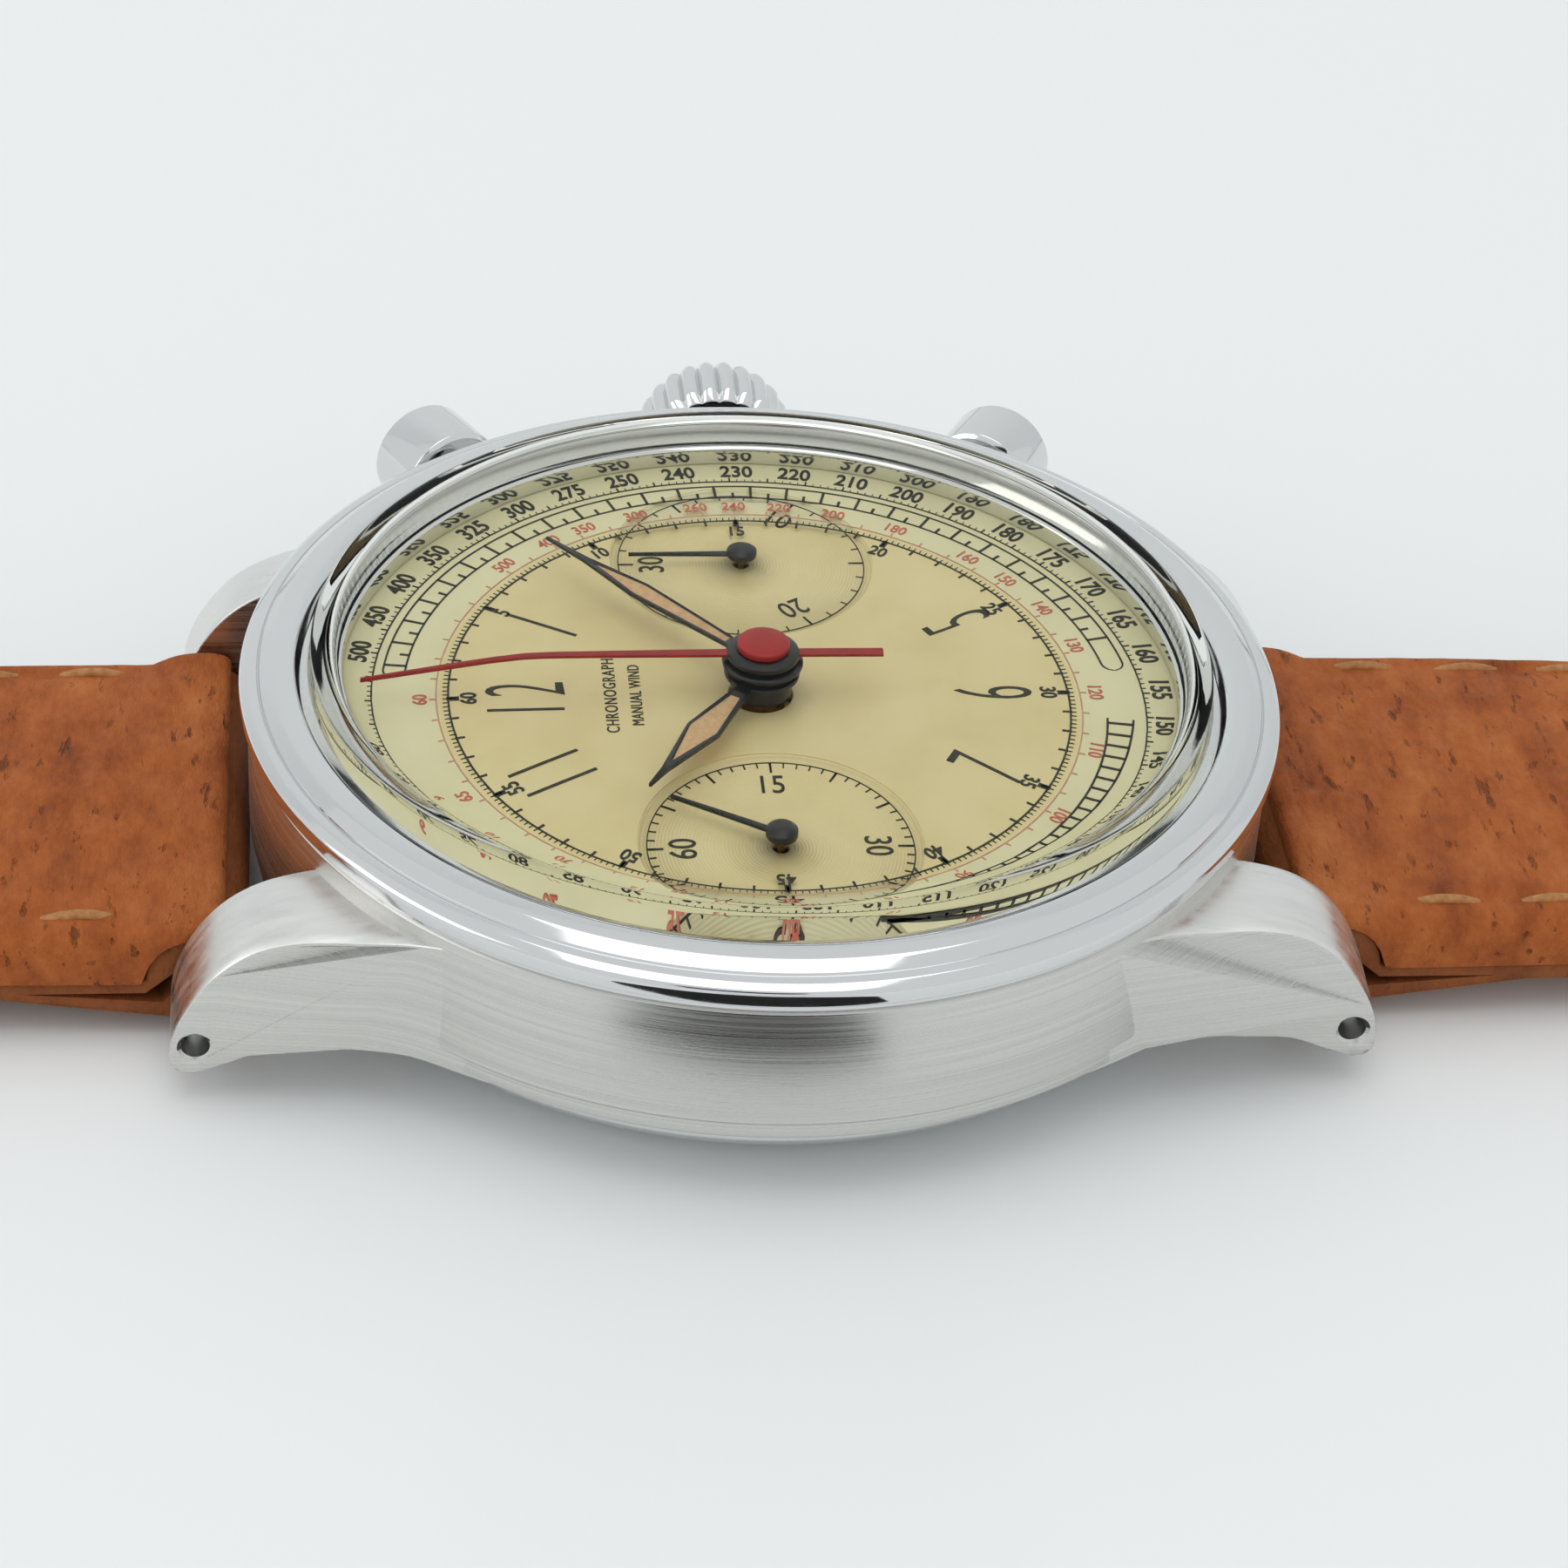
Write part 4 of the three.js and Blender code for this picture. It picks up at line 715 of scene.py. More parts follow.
def subdial(name, x, material):
    profile = [(0.32, DIAL_Z - 0.35), (SUBDIAL_RADIUS + 0.1, DIAL_Z - 0.35),
               (SUBDIAL_RADIUS + 0.1, DIAL_Z - 0.06), (SUBDIAL_RADIUS + 0.03, DIAL_Z - 0.02),
               (SUBDIAL_RADIUS - 0.02, DIAL_Z - 0.08), (SUBDIAL_RADIUS - 0.06, DIAL_Z - SUBDIAL_DEPTH),
               (2.2, DIAL_Z - SUBDIAL_DEPTH), (0.32, DIAL_Z - SUBDIAL_DEPTH)]
    return lathe(name, profile, material, 160, Matrix.Translation((x, 0, 0)))


DISC = [(1.15, 7.2), (15.3, 7.2), (15.3, 7.6), (1.15, 7.6)]
dial_disc = lathe("dial_disc", rounded(DISC, 0.04), lacquer, 256)
for x in (-SUBDIAL_X, SUBDIAL_X):
    opening = lathe("opening", [(0, 7), (SUBDIAL_RADIUS + 0.05, 7), (SUBDIAL_RADIUS + 0.05, 8), (0, 8)],
                    lacquer, 160, Matrix.Translation((x, 0, 0)))
    cut(dial_disc, opening)
sharpen(dial_disc, 30)
dial_parts = [dial_disc, subdial("subdial_9", -SUBDIAL_X, lacquer_9),
              subdial("subdial_3", SUBDIAL_X, lacquer_3)]
place(joined("dial_visual", dial_parts), "case", "dial_lacquer", "dial")

# %% [markdown]
# ## Ticks by Geometry Nodes
# A scale is the same tick repeated round a circle, so it is made by nodes: a circle of points, one flat box
# on each, turned to face the middle. The inputs are the count, the radius, and the tick's width and length.
# Pad-printed ink stands a hundredth or two of a millimetre proud, and so do these boxes.

# %% The tick group
def group_input(group, name, kind, default):
    socket = group.interface.new_socket(name, in_out="INPUT", socket_type=kind)
    socket.default_value = default
    return socket


tick_group = bpy.data.node_groups.new("ticks_round_a_circle", "GeometryNodeTree")
sockets = {
    "Count": group_input(tick_group, "Count", "NodeSocketInt", 60),
    "Radius": group_input(tick_group, "Radius", "NodeSocketFloat", 0.01),
    "Width": group_input(tick_group, "Width", "NodeSocketFloat", 0.0001),
    "Length": group_input(tick_group, "Length", "NodeSocketFloat", 0.0005),
    "Height": group_input(tick_group, "Height", "NodeSocketFloat", 0.00002),
    "Skip": group_input(tick_group, "Skip", "NodeSocketInt", 0),
    "Start": group_input(tick_group, "Start", "NodeSocketFloat", 0.0),
}
sockets["Material"] = tick_group.interface.new_socket(
    "Material", in_out="INPUT", socket_type="NodeSocketMaterial")
tick_group.interface.new_socket("Geometry", in_out="OUTPUT", socket_type="NodeSocketGeometry")
given = add(tick_group, "NodeGroupInput").outputs
line = add(tick_group, "GeometryNodePoints", {"Count": given["Count"]})
number = add(tick_group, "GeometryNodeInputIndex").outputs[0]
turn = add(tick_group, "ShaderNodeMath", {0: number, 1: -2 * math.pi}, operation="MULTIPLY").outputs[0]
turn = add(tick_group, "ShaderNodeMath", {0: turn, 1: given["Count"]}, operation="DIVIDE").outputs[0]
turn = add(tick_group, "ShaderNodeMath", {0: turn, 1: given["Start"]}, operation="ADD").outputs[0]
sine = add(tick_group, "ShaderNodeMath", {0: turn}, operation="SINE").outputs[0]
cosine = add(tick_group, "ShaderNodeMath", {0: turn}, operation="COSINE").outputs[0]
minus_sine = add(tick_group, "ShaderNodeMath", {0: sine, 1: -1.0}, operation="MULTIPLY").outputs[0]
spot = add(tick_group, "ShaderNodeCombineXYZ", {"X": minus_sine, "Y": cosine}).outputs[0]
spot = add(tick_group, "ShaderNodeVectorMath", {0: spot, "Scale": given["Radius"]},
           operation="SCALE").outputs[0]
moved = add(tick_group, "GeometryNodeSetPosition", {"Geometry": line.outputs[0], "Position": spot})
remainder = add(tick_group, "ShaderNodeMath", {0: number, 1: given["Skip"]}, operation="MODULO").outputs[0]
is_kept = add(tick_group, "FunctionNodeCompare", {"A": remainder, "B": 0.5}, data_type="FLOAT",
              operation="GREATER_THAN").outputs[0]
no_skip = add(tick_group, "FunctionNodeCompare", {2: given["Skip"], 3: 0}, data_type="INT",
              operation="EQUAL").outputs[0]
keep = add(tick_group, "FunctionNodeBooleanMath", {0: is_kept, 1: no_skip}, operation="OR").outputs[0]
size = add(tick_group, "ShaderNodeCombineXYZ",
           {"X": given["Width"], "Y": given["Length"], "Z": given["Height"]}).outputs[0]
tick = add(tick_group, "GeometryNodeMeshCube", {"Size": size}).outputs[0]
facing = add(tick_group, "ShaderNodeCombineXYZ", {"Z": turn}).outputs[0]
copies = add(tick_group, "GeometryNodeInstanceOnPoints",
             {"Points": moved.outputs[0], "Selection": keep, "Instance": tick, "Rotation": facing})
real = add(tick_group, "GeometryNodeRealizeInstances", {"Geometry": copies.outputs[0]})
painted = add(tick_group, "GeometryNodeSetMaterial",
              {"Geometry": real.outputs[0], "Material": given["Material"]})
add(tick_group, "NodeGroupOutput", {"Geometry": painted.outputs[0]})


def by_nodes(name, group, group_sockets, values):
    """Run a node group on an empty mesh and keep what it makes as an ordinary mesh."""
    made = bpy.data.objects.new(name, bpy.data.meshes.new(name))
    scene.collection.objects.link(made)
    grower = made.modifiers.new("grow", "NODES")
    grower.node_group = group
    for key, value in values.items():
        grower[group_sockets[key].identifier] = value
    return applied(made)


PRINT_Z = DIAL_Z + 0.012


def ticks(count, radius, width, length, material, x=0.0, z=PRINT_Z, skip=0, start=0.0):
    """A ring of printed ticks; radius is to the middle of a tick, all in mm."""
    made = by_nodes("ticks", tick_group, sockets, {
        "Count": count, "Radius": radius * MM, "Width": width * MM, "Length": length * MM,
        "Height": 0.02 * MM, "Skip": skip, "Start": start, "Material": material})
    made.data.transform(Matrix.Translation((x * MM, 0, z * MM)))
    return made


test = ticks(60, 11, 0.08, 0.4, black_ink)
print("a 60-tick ring has", len(test.data.polygons), "faces")
bpy.data.objects.remove(test)

# %% [markdown]
# ## Printed tracks
# Lines and blocks of ink are flat bands between two circles, from one angle to another. Angles here are clock
# angles, in degrees clockwise from 12. The numerals are a narrow sans letter, set upright and pressed flat.

# %% Bands and numerals
def clock(radius, degrees):
    angle = math.radians(degrees)
    return radius * math.sin(angle), radius * math.cos(angle)


def band(inner, outer, start, end, material, x=0.0, z=PRINT_Z, step=2.0):
    """A printed band. Its radii may be functions of the clock angle."""
    count = max(1, int(abs(end - start) / step))
    whole = abs(end - start) >= 359.9
    points = []
    for i in range(count + (0 if whole else 1)):
        degrees = start + (end - start) * i / count
        low = inner(degrees) if callable(inner) else inner
        high = outer(degrees) if callable(outer) else outer
        for radius in (low, high):
            px, py = clock(radius, degrees)
            points += [(x + px, py, z - 0.01), (x + px, py, z + 0.01)]
    slices = len(points) // 4
    faces = []
    for i in range(slices if whole else slices - 1):
        a, b = 4 * i, 4 * ((i + 1) % slices)
        faces += [[a + 1, b + 1, b + 3, a + 3], [a, a + 2, b + 2, b], [a, b, b + 1, a + 1],
                  [a + 2, a + 3, b + 3, b + 2]]
    if not whole:
        last = 4 * (slices - 1)
        faces += [[0, 1, 3, 2], [last, last + 2, last + 3, last + 1]]
    return mesh_object("band", points, faces, material, False)


def circle(radius, width, material, x=0.0, z=PRINT_Z):
    return band(radius - width / 2, radius + width / 2, 0, 360, material, x, z, 3)


def lettering(words, x, y, height, material, z=PRINT_Z, turn=0.0, squeeze=1.0, stroke=0.0, spacing=1.0):
    """Flat letters as a mesh, centred on a point, with the height of a capital in mm."""
    curve = bpy.data.curves.new("words", "FONT")
    curve.body, curve.align_x, curve.align_y = words, "CENTER", "CENTER"
    curve.size, curve.space_character = 1.0, spacing
    curve.extrude, curve.resolution_u, curve.offset = 0.01, 4, stroke
    words_object = bpy.data.objects.new("words", curve)
    scene.collection.objects.link(words_object)
    bpy.context.view_layer.update()
    graph = bpy.context.evaluated_depsgraph_get()
    mesh = bpy.data.meshes.new_from_object(words_object.evaluated_get(graph))
    bpy.data.objects.remove(words_object)
    tall = max(v.co.y for v in mesh.vertices) - min(v.co.y for v in mesh.vertices)
    scale = height / tall
    middle_x = (max(v.co.x for v in mesh.vertices) + min(v.co.x for v in mesh.vertices)) / 2
    middle_y = (max(v.co.y for v in mesh.vertices) + min(v.co.y for v in mesh.vertices)) / 2
    shape = Matrix.Diagonal((scale * squeeze, scale, 1.0, 1)) @ Matrix.Translation((-middle_x, -middle_y, 0))
    mesh.transform(shape)
    mesh.transform(Matrix.Rotation(turn, 4, "Z"))
    mesh.transform(Matrix.Translation((x, y, z)))
    mesh.transform(Matrix.Scale(MM, 4))
    mesh.materials.clear()
    mesh.materials.append(material)
    made = bpy.data.objects.new("words", mesh)
    scene.collection.objects.link(made)
    return made


sample = lettering("12", 0, 8, 2.4, black_ink)
print("a numeral is", [round(v / MM, 2) for v in sample.dimensions], "mm")
bpy.data.objects.remove(sample)

# %% [markdown]
# ## The printed dial
# From the middle outwards: two lines of small plain lettering, six tall thin hour numerals, the minute track,
# a red circle, a red scale, a black ladder with round ends round the right half, one that thins to a point
# on the left, and close bold numerals at the very edge. The long scales give a speed or a distance.

# %% Minute track and red scale
TRACK = 11.05
prints = [circle(TRACK, 0.07, black_ink), circle(TRACK + 0.42, 0.05, faded_red_ink)]
prints += [
    ticks(60, TRACK - 0.12, 0.09, 0.34, black_ink),
    ticks(12, TRACK - 0.16, 0.22, 0.44, black_ink),
    ticks(300, TRACK + 0.1, 0.035, 0.2, black_ink),
    ticks(60, TRACK + 0.55, 0.06, 0.22, faded_red_ink),
]
for minute in range(5, 61, 5):
    x, y = clock(10.35, minute * 6)
    prints.append(lettering(str(minute), x, y, 0.6, black_ink, turn=-math.radians(minute * 6), squeeze=0.85,
                            stroke=0.02))

RED_VALUES = [60, 65, 70, 75, 80, 90, 100, 110, 120, 130, 140, 150, 160, 180, 200, 220, 240, 260, 300,
              350, 400, 500]
for value in RED_VALUES:
    degrees = 360 * 60 / value
    if degrees < 40:
        continue
    x, y = clock(12.05, degrees)
    turn = -math.radians(degrees)
    prints.append(lettering(str(value), x, y, 0.52, red_ink, turn=turn, squeeze=0.85, stroke=0.012))
print("inner scales:", len(prints), "prints")

# %% Ladder and its tail
LADDER_INNER, LADDER_OUTER = 12.6, 13.45
ROUND_END = 2.0


def end_round(degrees):
    """How wide the ladder is, from 0 at its very end to 1 where it is full."""
    left = min(degrees - 6, 174 - degrees) / ROUND_END
    return math.sqrt(max(0.0, 1 - (1 - min(1.0, left)) ** 2))


LADDER_MIDDLE = (LADDER_INNER + LADDER_OUTER) / 2
LADDER_HALF = (LADDER_OUTER - LADDER_INNER) / 2
ladder_edges = [
    band(lambda d: LADDER_MIDDLE + LADDER_HALF * end_round(d) - 0.07,
         lambda d: LADDER_MIDDLE + LADDER_HALF * end_round(d), 6.02, 173.98, black_ink, step=0.4),
    band(lambda d: LADDER_MIDDLE - LADDER_HALF * end_round(d),
         lambda d: LADDER_MIDDLE - LADDER_HALF * end_round(d) + 0.07, 6.02, 173.98, black_ink, step=0.4),
]
for i in range(53):
    start = 9 + i * 3
    ladder_edges.append(band(LADDER_INNER + 0.02, LADDER_MIDDLE - 0.05 if i % 2 else LADDER_OUTER - 0.02,
                             start, start + 0.45, black_ink, step=0.45))


def taper(degrees):
    """The left-hand ladder closes from about 1 mm wide near 6 o'clock to nothing at half past 8."""
    return 12.35 + 0.95 * max(0.0, (255 - degrees) / 68)


ladder_edges += [band(12.3, 12.38, 187, 256, black_ink),
                 band(lambda d: taper(d) - 0.08, taper, 187, 255, black_ink)]
for i in range(22):
    degrees = 188 + i * 3
    ladder_edges.append(band(12.35, lambda d, top=degrees: taper(top) - 0.03, degrees, degrees + 0.5,
                             black_ink, step=0.5))
print("ladder:", len(ladder_edges), "prints")

# %% Outer scale
outer = [circle(13.75, 0.06, black_ink), ticks(60, 13.88, 0.06, 0.26, black_ink),
         ticks(300, 13.83, 0.03, 0.16, black_ink)]
edge_values = [500, 450, 400, 350, 325, 300, 275, 250, 240, 230, 220, 210, 200, 190, 180, 175, 170, 165, 160,
               155, 150, 145, 140, 135, 130, 125, 120, 115, 110, 105, 100, 95, 90, 85, 80, 75, 70, 65, 60]
for i, value in enumerate(edge_values):
    degrees = 12 + i * 8.8
    x, y = clock(14.45, degrees)
    outer.append(lettering(str(value), x, y, 0.78, black_ink, turn=-math.radians(degrees), squeeze=0.8,
                           stroke=0.022))
for i in range(12):
    x, y = clock(13.05, 190 + i * 13)
    if i > 4:
        outer.append(lettering(str(20 - i), x, y, 0.5, red_ink, turn=-math.radians(190 + i * 13),
                               squeeze=0.85, stroke=0.012))
print("outer scale:", len(outer), "prints")

# %% [markdown]
# The hour numerals are tall and thin and point to the middle, in the manner of the period. Only those that
# clear the two sub-dials are there: 12, 1, 5, 6, 7 and 11. The two lines of lettering say what it is.

# %% Hour numerals and lettering
hours = []
for hour in (12, 1, 5, 6, 7, 11):
    x, y = clock(8.35 if hour in (12, 6) else 8.75, hour * 30)
    turn = -math.radians(hour * 30) + (math.pi if 4 < hour < 8 else 0)
    hours.append(lettering(str(hour), x, y, 2.8, black_ink, turn=turn, squeeze=0.43, stroke=-0.014,
                           spacing=1.35))
hours.append(lettering("CHRONOGRAPH", 0, 5.35, 0.46, black_ink, squeeze=0.8, spacing=1.15))
hours.append(lettering("MANUAL WIND", 0, 4.45, 0.42, black_ink, squeeze=0.78, spacing=1.1))

# %% Sub-dials
LOW_PRINT = DIAL_Z - SUBDIAL_DEPTH + 0.012
small = []
for x, values, fine in ((-SUBDIAL_X, {0: "60", 90: "15", 180: "30", 270: "45"}, 60),
                        (SUBDIAL_X, {0: "30", 120: "10", 240: "20"}, 30)):
    small.append(ticks(fine, 4.42, 0.05, 0.26, black_ink, x, LOW_PRINT))
    small.append(ticks(12 if fine == 60 else 6, 4.28, 0.08, 0.55, black_ink, x, LOW_PRINT))
    small.append(circle(4.56, 0.04, black_ink, x, LOW_PRINT))
    for degrees, word in values.items():
        px, py = clock(3.35, degrees)
        small.append(lettering(word, x + px, py, 0.95, black_ink, LOW_PRINT, -math.radians(degrees),
                               squeeze=0.8))

dial_print = joined("dial_print", prints + ladder_edges + outer + hours + small)
place(dial_print, "case", "black_hand_enamel")

# %% [markdown]
# ## Hands
# The hour and minute hands are stamped frames, blackened, with the window filled from behind with paste. The
# paste shrinks as it dries, so it sits a little hollow. The sweep hand bends down at its end to meet the
# scale, and has a black collar and a red cap at its hub.

# %% Hand helper
def bladed(name, collar, start, root, wide, widest, paste_end, length, low, angle, body, nodes):
    """collar is a list of lathe corners for the hub, bored and blackened."""
    turn = Matrix.Rotation(-math.radians(angle), 4, "Z")
    thick, rim = 0.13, 0.13
    outline = [(-root, start), (root, start), (wide, widest), (0.13, paste_end + 0.6), (0.05, length),
               (-0.05, length), (-0.13, paste_end + 0.6), (-wide, widest)]
    frame_part = extruded("frame", outline, low, low + thick, black_enamel, 0.02, turn)
    window = [(-root + 0.1, start + 0.7), (root - 0.1, start + 0.7), (wide - rim, widest), (0.02, paste_end),
              (-0.02, paste_end), (-wide + rim, widest)]
    hole = extruded("hole", window, low - 1, low + 1, black_enamel, 0, turn)
    cut(frame_part, hole)
    inlay = [(x * 1.1, y) for x, y in window]
    paste = extruded("paste", inlay, low + 0.015, low + thick - 0.02, lume, 0.02, turn)
    hub = sharpen(lathe("hub", rounded(collar, 0.06), black_enamel, 64), 50)
    return place(joined(name, [frame_part, paste, hub]), body, "black_hand_enamel", *nodes)


HOUR_ANGLE, MINUTE_ANGLE, SECONDS_ANGLE = 304, 48, 30  # clockwise from 12, in degrees
HOUR_HUB = [(0.95, 7.75), (1.1, 7.75), (1.1, 8.36), (1.35, 8.38, 0.08), (1.35, 8.55, 0.08), (0.95, 8.57)]
MINUTE_HUB = [(0.6, 8.8), (1.45, 8.8, 0.06), (1.45, 8.97, 0.08), (0.95, 9.03), (0.6, 9.03)]
bladed("hour_hand_visual", HOUR_HUB, 1.2, 0.28, 0.65, 4.2, 6.3, 7.9, 8.4, HOUR_ANGLE, "hour_hand",
       ["hour_hand"])
bladed("minute_hand_visual", MINUTE_HUB, 1.0, 0.25, 0.46, 6.1, 8.3, 10.9, 8.8, MINUTE_ANGLE, "minute_hand",
       ["minute_hand"])

# %% Sweep hand and small hands
SWEEP_PLAN = [(-4.3, 0.2), (-1.0, 0.2), (0.0, 0.2), (8.5, 0.12), (11.5, 0.095), (14.2, 0.06)]
SWEEP_SIDE = [(-4.3, 9.15), (7.6, 9.15), (8.5, 9.12), (9.6, 9.0), (14.2, 8.35)]


def along(table, at):
    for (a, va), (b, vb) in zip(table, table[1:]):
        if at <= b:
            return va + (vb - va) * max(0.0, at - a) / (b - a)
    return table[-1][1]


def needle(stations, half_width, low, thick, material, placement):
    points, faces = [], []
    for y in stations:
        w, z = half_width(y), low(y)
        points += [placement @ Vector(p) for p in
                   ((-w, y, z), (w, y, z), (w, y, z + thick * 0.7), (w * 0.6, y, z + thick),
                    (-w * 0.6, y, z + thick), (-w, y, z + thick * 0.7))]
    rings = len(stations)
    for s in range(rings - 1):
        for i in range(6):
            j = (i + 1) % 6
            faces.append([s * 6 + i, s * 6 + j, s * 6 + 6 + j, s * 6 + 6 + i])
    faces += [list(range(6)), list(range(rings * 6 - 6, rings * 6))]
    return mesh_object("needle", points, faces, material, False)


stations = [-4.3 + 18.5 * i / 74 for i in range(75)]
arm = needle(stations, lambda y: along(SWEEP_PLAN, y), lambda y: along(SWEEP_SIDE, y), 0.14, red_lacquer,
             UPRIGHT)
lower = lathe("lower", rounded([(0, 9.1), (1.3, 9.1), (1.3, 9.32, 0.1), (1.0, 9.4), (0, 9.42)], 0.06, 4,
                               closed=False), black_enamel, 64)
cap = lathe("cap", rounded([(0, 9.42), (0.94, 9.42, 0.03), (0.94, 9.66, 0.08), (0.5, 9.7, 0.2), (0, 9.7)],
                           0.05, closed=False), red_cap, 64)
sweep = joined("chronograph_hand_visual", [arm, sharpen(lower, 60), sharpen(cap, 60)])
place(sweep, "chronograph", "red_hand_lacquer", "chronograph_hand")

for name, x, angle, body in (("running_seconds_hand", -SUBDIAL_X, SECONDS_ANGLE, "running_seconds"),
                             ("minute_register_hand", SUBDIAL_X, 0, "minute_register")):
    turn = Matrix.Translation((x, 0, 0)) @ Matrix.Rotation(-math.radians(angle), 4, "Z")
    pin = needle([-0.3, 0.0, 1.0, 2.0, 4.2], lambda y: along([(-0.3, 0.13), (0, 0.13), (4.2, 0.05)], y),
                 lambda y: 7.85, 0.12, black_enamel, turn)
    hub = lathe("hub", rounded([(0, 7.83), (0.56, 7.83), (0.56, 8.05), (0.35, 8.18), (0, 8.2)], 0.06,
                               closed=False), black_enamel, 48, turn)
    place(joined(name + "_visual", [pin, sharpen(hub, 50)]), body, "black_hand_enamel", name)

# %% [markdown]
# ## Strap
# The strap is two layers sewn round a filler: a rough upper, crowned because of the padding, and a thin
# lining that loops round the spring bar and is glued back on itself. Sewing pulls the upper down along the
# stitch line. The upper is a grid: one column of points for each place along the strap, one row across.

# %% Upper leather
STITCH_INSET = 1.25
STITCH_PITCH = 4.1
STITCH_START = 24.3
LOOP_RADIUS = 1.8
TAIL_ROUND = 9


def half_width(y):
    return along([(18, 8.75), (24, 8.75), (75, 7.9), (200, 7.9)], y)


def tail_share(y, far, least):
    """How much of the width is left near the rounded tail."""
    return max(least, 1 - ((y - far + TAIL_ROUND) / TAIL_ROUND) ** 2.4) ** 0.62


def over_bar(y, under):
    """The upper's lower side: round the spring bar first, then along the lining."""
    return BAR_Z + math.sqrt(max(0.0, LOOP_RADIUS ** 2 - (y - BAR_Y) ** 2)) if y < 22.0 else under(y)


def top_12(y):
    return along([(27.5, 4.25), (93, 3.3)], y)


def top_6(y):
    return along([(27.5, 4.25), (135, 2.0)], y)


def strap_upper(name, y_sign, top, under, far, tail, seed):
    rows = []
    y = 19.2
    while y < far:
        rows.append(y)
        y += 0.12 if y < 20.6 else (0.3 if y < 60 else 0.7)
    rows.append(far)
    if tail:
        rows += [far - 8.5 + 8.5 * (i / 24) ** 0.6 for i in range(1, 24)]
        rows = sorted(rows)
    across = 56
    shares = [math.sin(math.pi / 2 * (2 * i / across - 1) * 0.999) * 0.35 + (2 * i / across - 1) * 0.65
              for i in range(across + 1)]
    points, faces = [], []
    for y in rows:
        half = half_width(y)
        if tail and y > far - TAIL_ROUND:
            half *= tail_share(y, far, 0.02)
        low = over_bar(y, under)
        high = top(y)
        lap = min(1.0, (y - 19.2) / 1.3)
        high = low + 0.45 + (high - low - 0.45) * math.sqrt(max(0.0, 1 - (1 - lap) ** 2))
        thick = high - low
        stitch_x = half - STITCH_INSET
        for share in shares:
            x = share * half
            edge = min(1.0, (half - abs(x)) / min(0.9, thick * 0.6))
            crown_drop = 0.3 * (x / half) ** 2 * min(1.0, thick / 2.4)
            rise = 0.42 + 0.58 * math.sqrt(max(0.0, 1 - (1 - edge) ** 2))
            z = low + (thick - crown_drop) * rise
            if y > 23.5:
                seam = math.exp(-((abs(x) - stitch_x) / 0.42) ** 2)
                past = y - STITCH_START - STITCH_PITCH / 2
                beat = 0.5 + 0.5 * math.cos(2 * math.pi * past / STITCH_PITCH)
                z -= seam * (0.1 + 0.12 * beat ** 2)
            crease = noise.noise(Vector((x * 1.1, y * 0.16, seed)))
            fine = noise.noise(Vector((x * 2.6, y * 0.9, seed + 9)))
            z += edge * (0.07 * crease + 0.025 * fine)
            edge_noise = 0.04 * noise.noise(Vector((y * 1.3, seed, x))) * abs(share)
            points.append((x + edge_noise, y_sign * y, z))
    width = across + 1
    top_count = len(points)
    for y in rows:
        half = half_width(y)
        if tail and y > far - TAIL_ROUND:
            half *= tail_share(y, far, 0.02)
        low = over_bar(y, under)
        for share in shares:
            points.append((share * half, y_sign * y, low))
    for r in range(len(rows) - 1):
        for c in range(across):
            a = r * width + c
            faces.append([a, a + 1, a + width + 1, a + width])
            faces.append([top_count + a, top_count + a + width, top_count + a + width + 1, top_count + a + 1])
        for c in (0, across):
            a = r * width + c
            faces.append([a, a + width, top_count + a + width, top_count + a])
    for r in (0, len(rows) - 1):
        for c in range(across):
            a = r * width + c
            faces.append([a, a + 1, top_count + a + 1, top_count + a])
    return sharpen(mesh_object(name, points, faces, strap_leather), 50)


buckle_upper = strap_upper("buckle_strap_upper_visual", 1, top_12, lambda y: 1.86, 93.0, False, 2.0)
hole_upper = strap_upper("hole_strap_upper_visual", -1, top_6,
                         lambda y: along([(27.5, 1.86), (135, 0.96)], y), 135.0, True, 31.0)
HOLES = [-(80 + 6.2 * i) for i in range(7)]


def punches():
    cylinders = [lathe("punch", [(0, -2), (0.8, -2), (0.8, 6), (0, 6)], strap_leather, 32,
                       Matrix.Translation((0, y, 0))) for y in HOLES]
    return joined("punches", cylinders)


sharpen(cut(hole_upper, punches()), 50)
place(buckle_upper, "buckle_strap", "strap_leather", "buckle_strap_upper")
place(hole_upper, "hole_strap", "strap_leather", "hole_strap_upper")

# %% [markdown]
# ## Lining
# Seen from the side, the lining runs up under the upper, round the bar and back. Where the turned-back end
# is glued down it leaves a small dark triangle. The side profile is drawn once, then stretched across.

# %% Lining leather
def arc_points(centre, radius, start, end, steps):
    return [(centre[0] + radius * math.cos(math.radians(start + (end - start) * i / steps)),
             centre[1] + radius * math.sin(math.radians(start + (end - start) * i / steps)))
            for i in range(steps + 1)]


def subdivided(points, most=2.0):
    result = []
    for a, b in zip(points, points[1:] + points[:1]):
        count = max(1, int(math.hypot(b[0] - a[0], b[1] - a[1]) / most))
        result += [(a[0] + (b[0] - a[0]) * i / count, a[1] + (b[1] - a[1]) * i / count) for i in range(count)]
    return result


def across_strap(name, side, half, material, bevel=0.0, segments=2):
    """A closed outline in (y, z) made into a prism from -half to half across the strap."""
    turned = Matrix(((0, 0, 1, 0), (1, 0, 0, 0), (0, 1, 0, 0), (0, 0, 0, 1)))
    return extruded(name, side, -half, half, material, bevel, turned, segments)


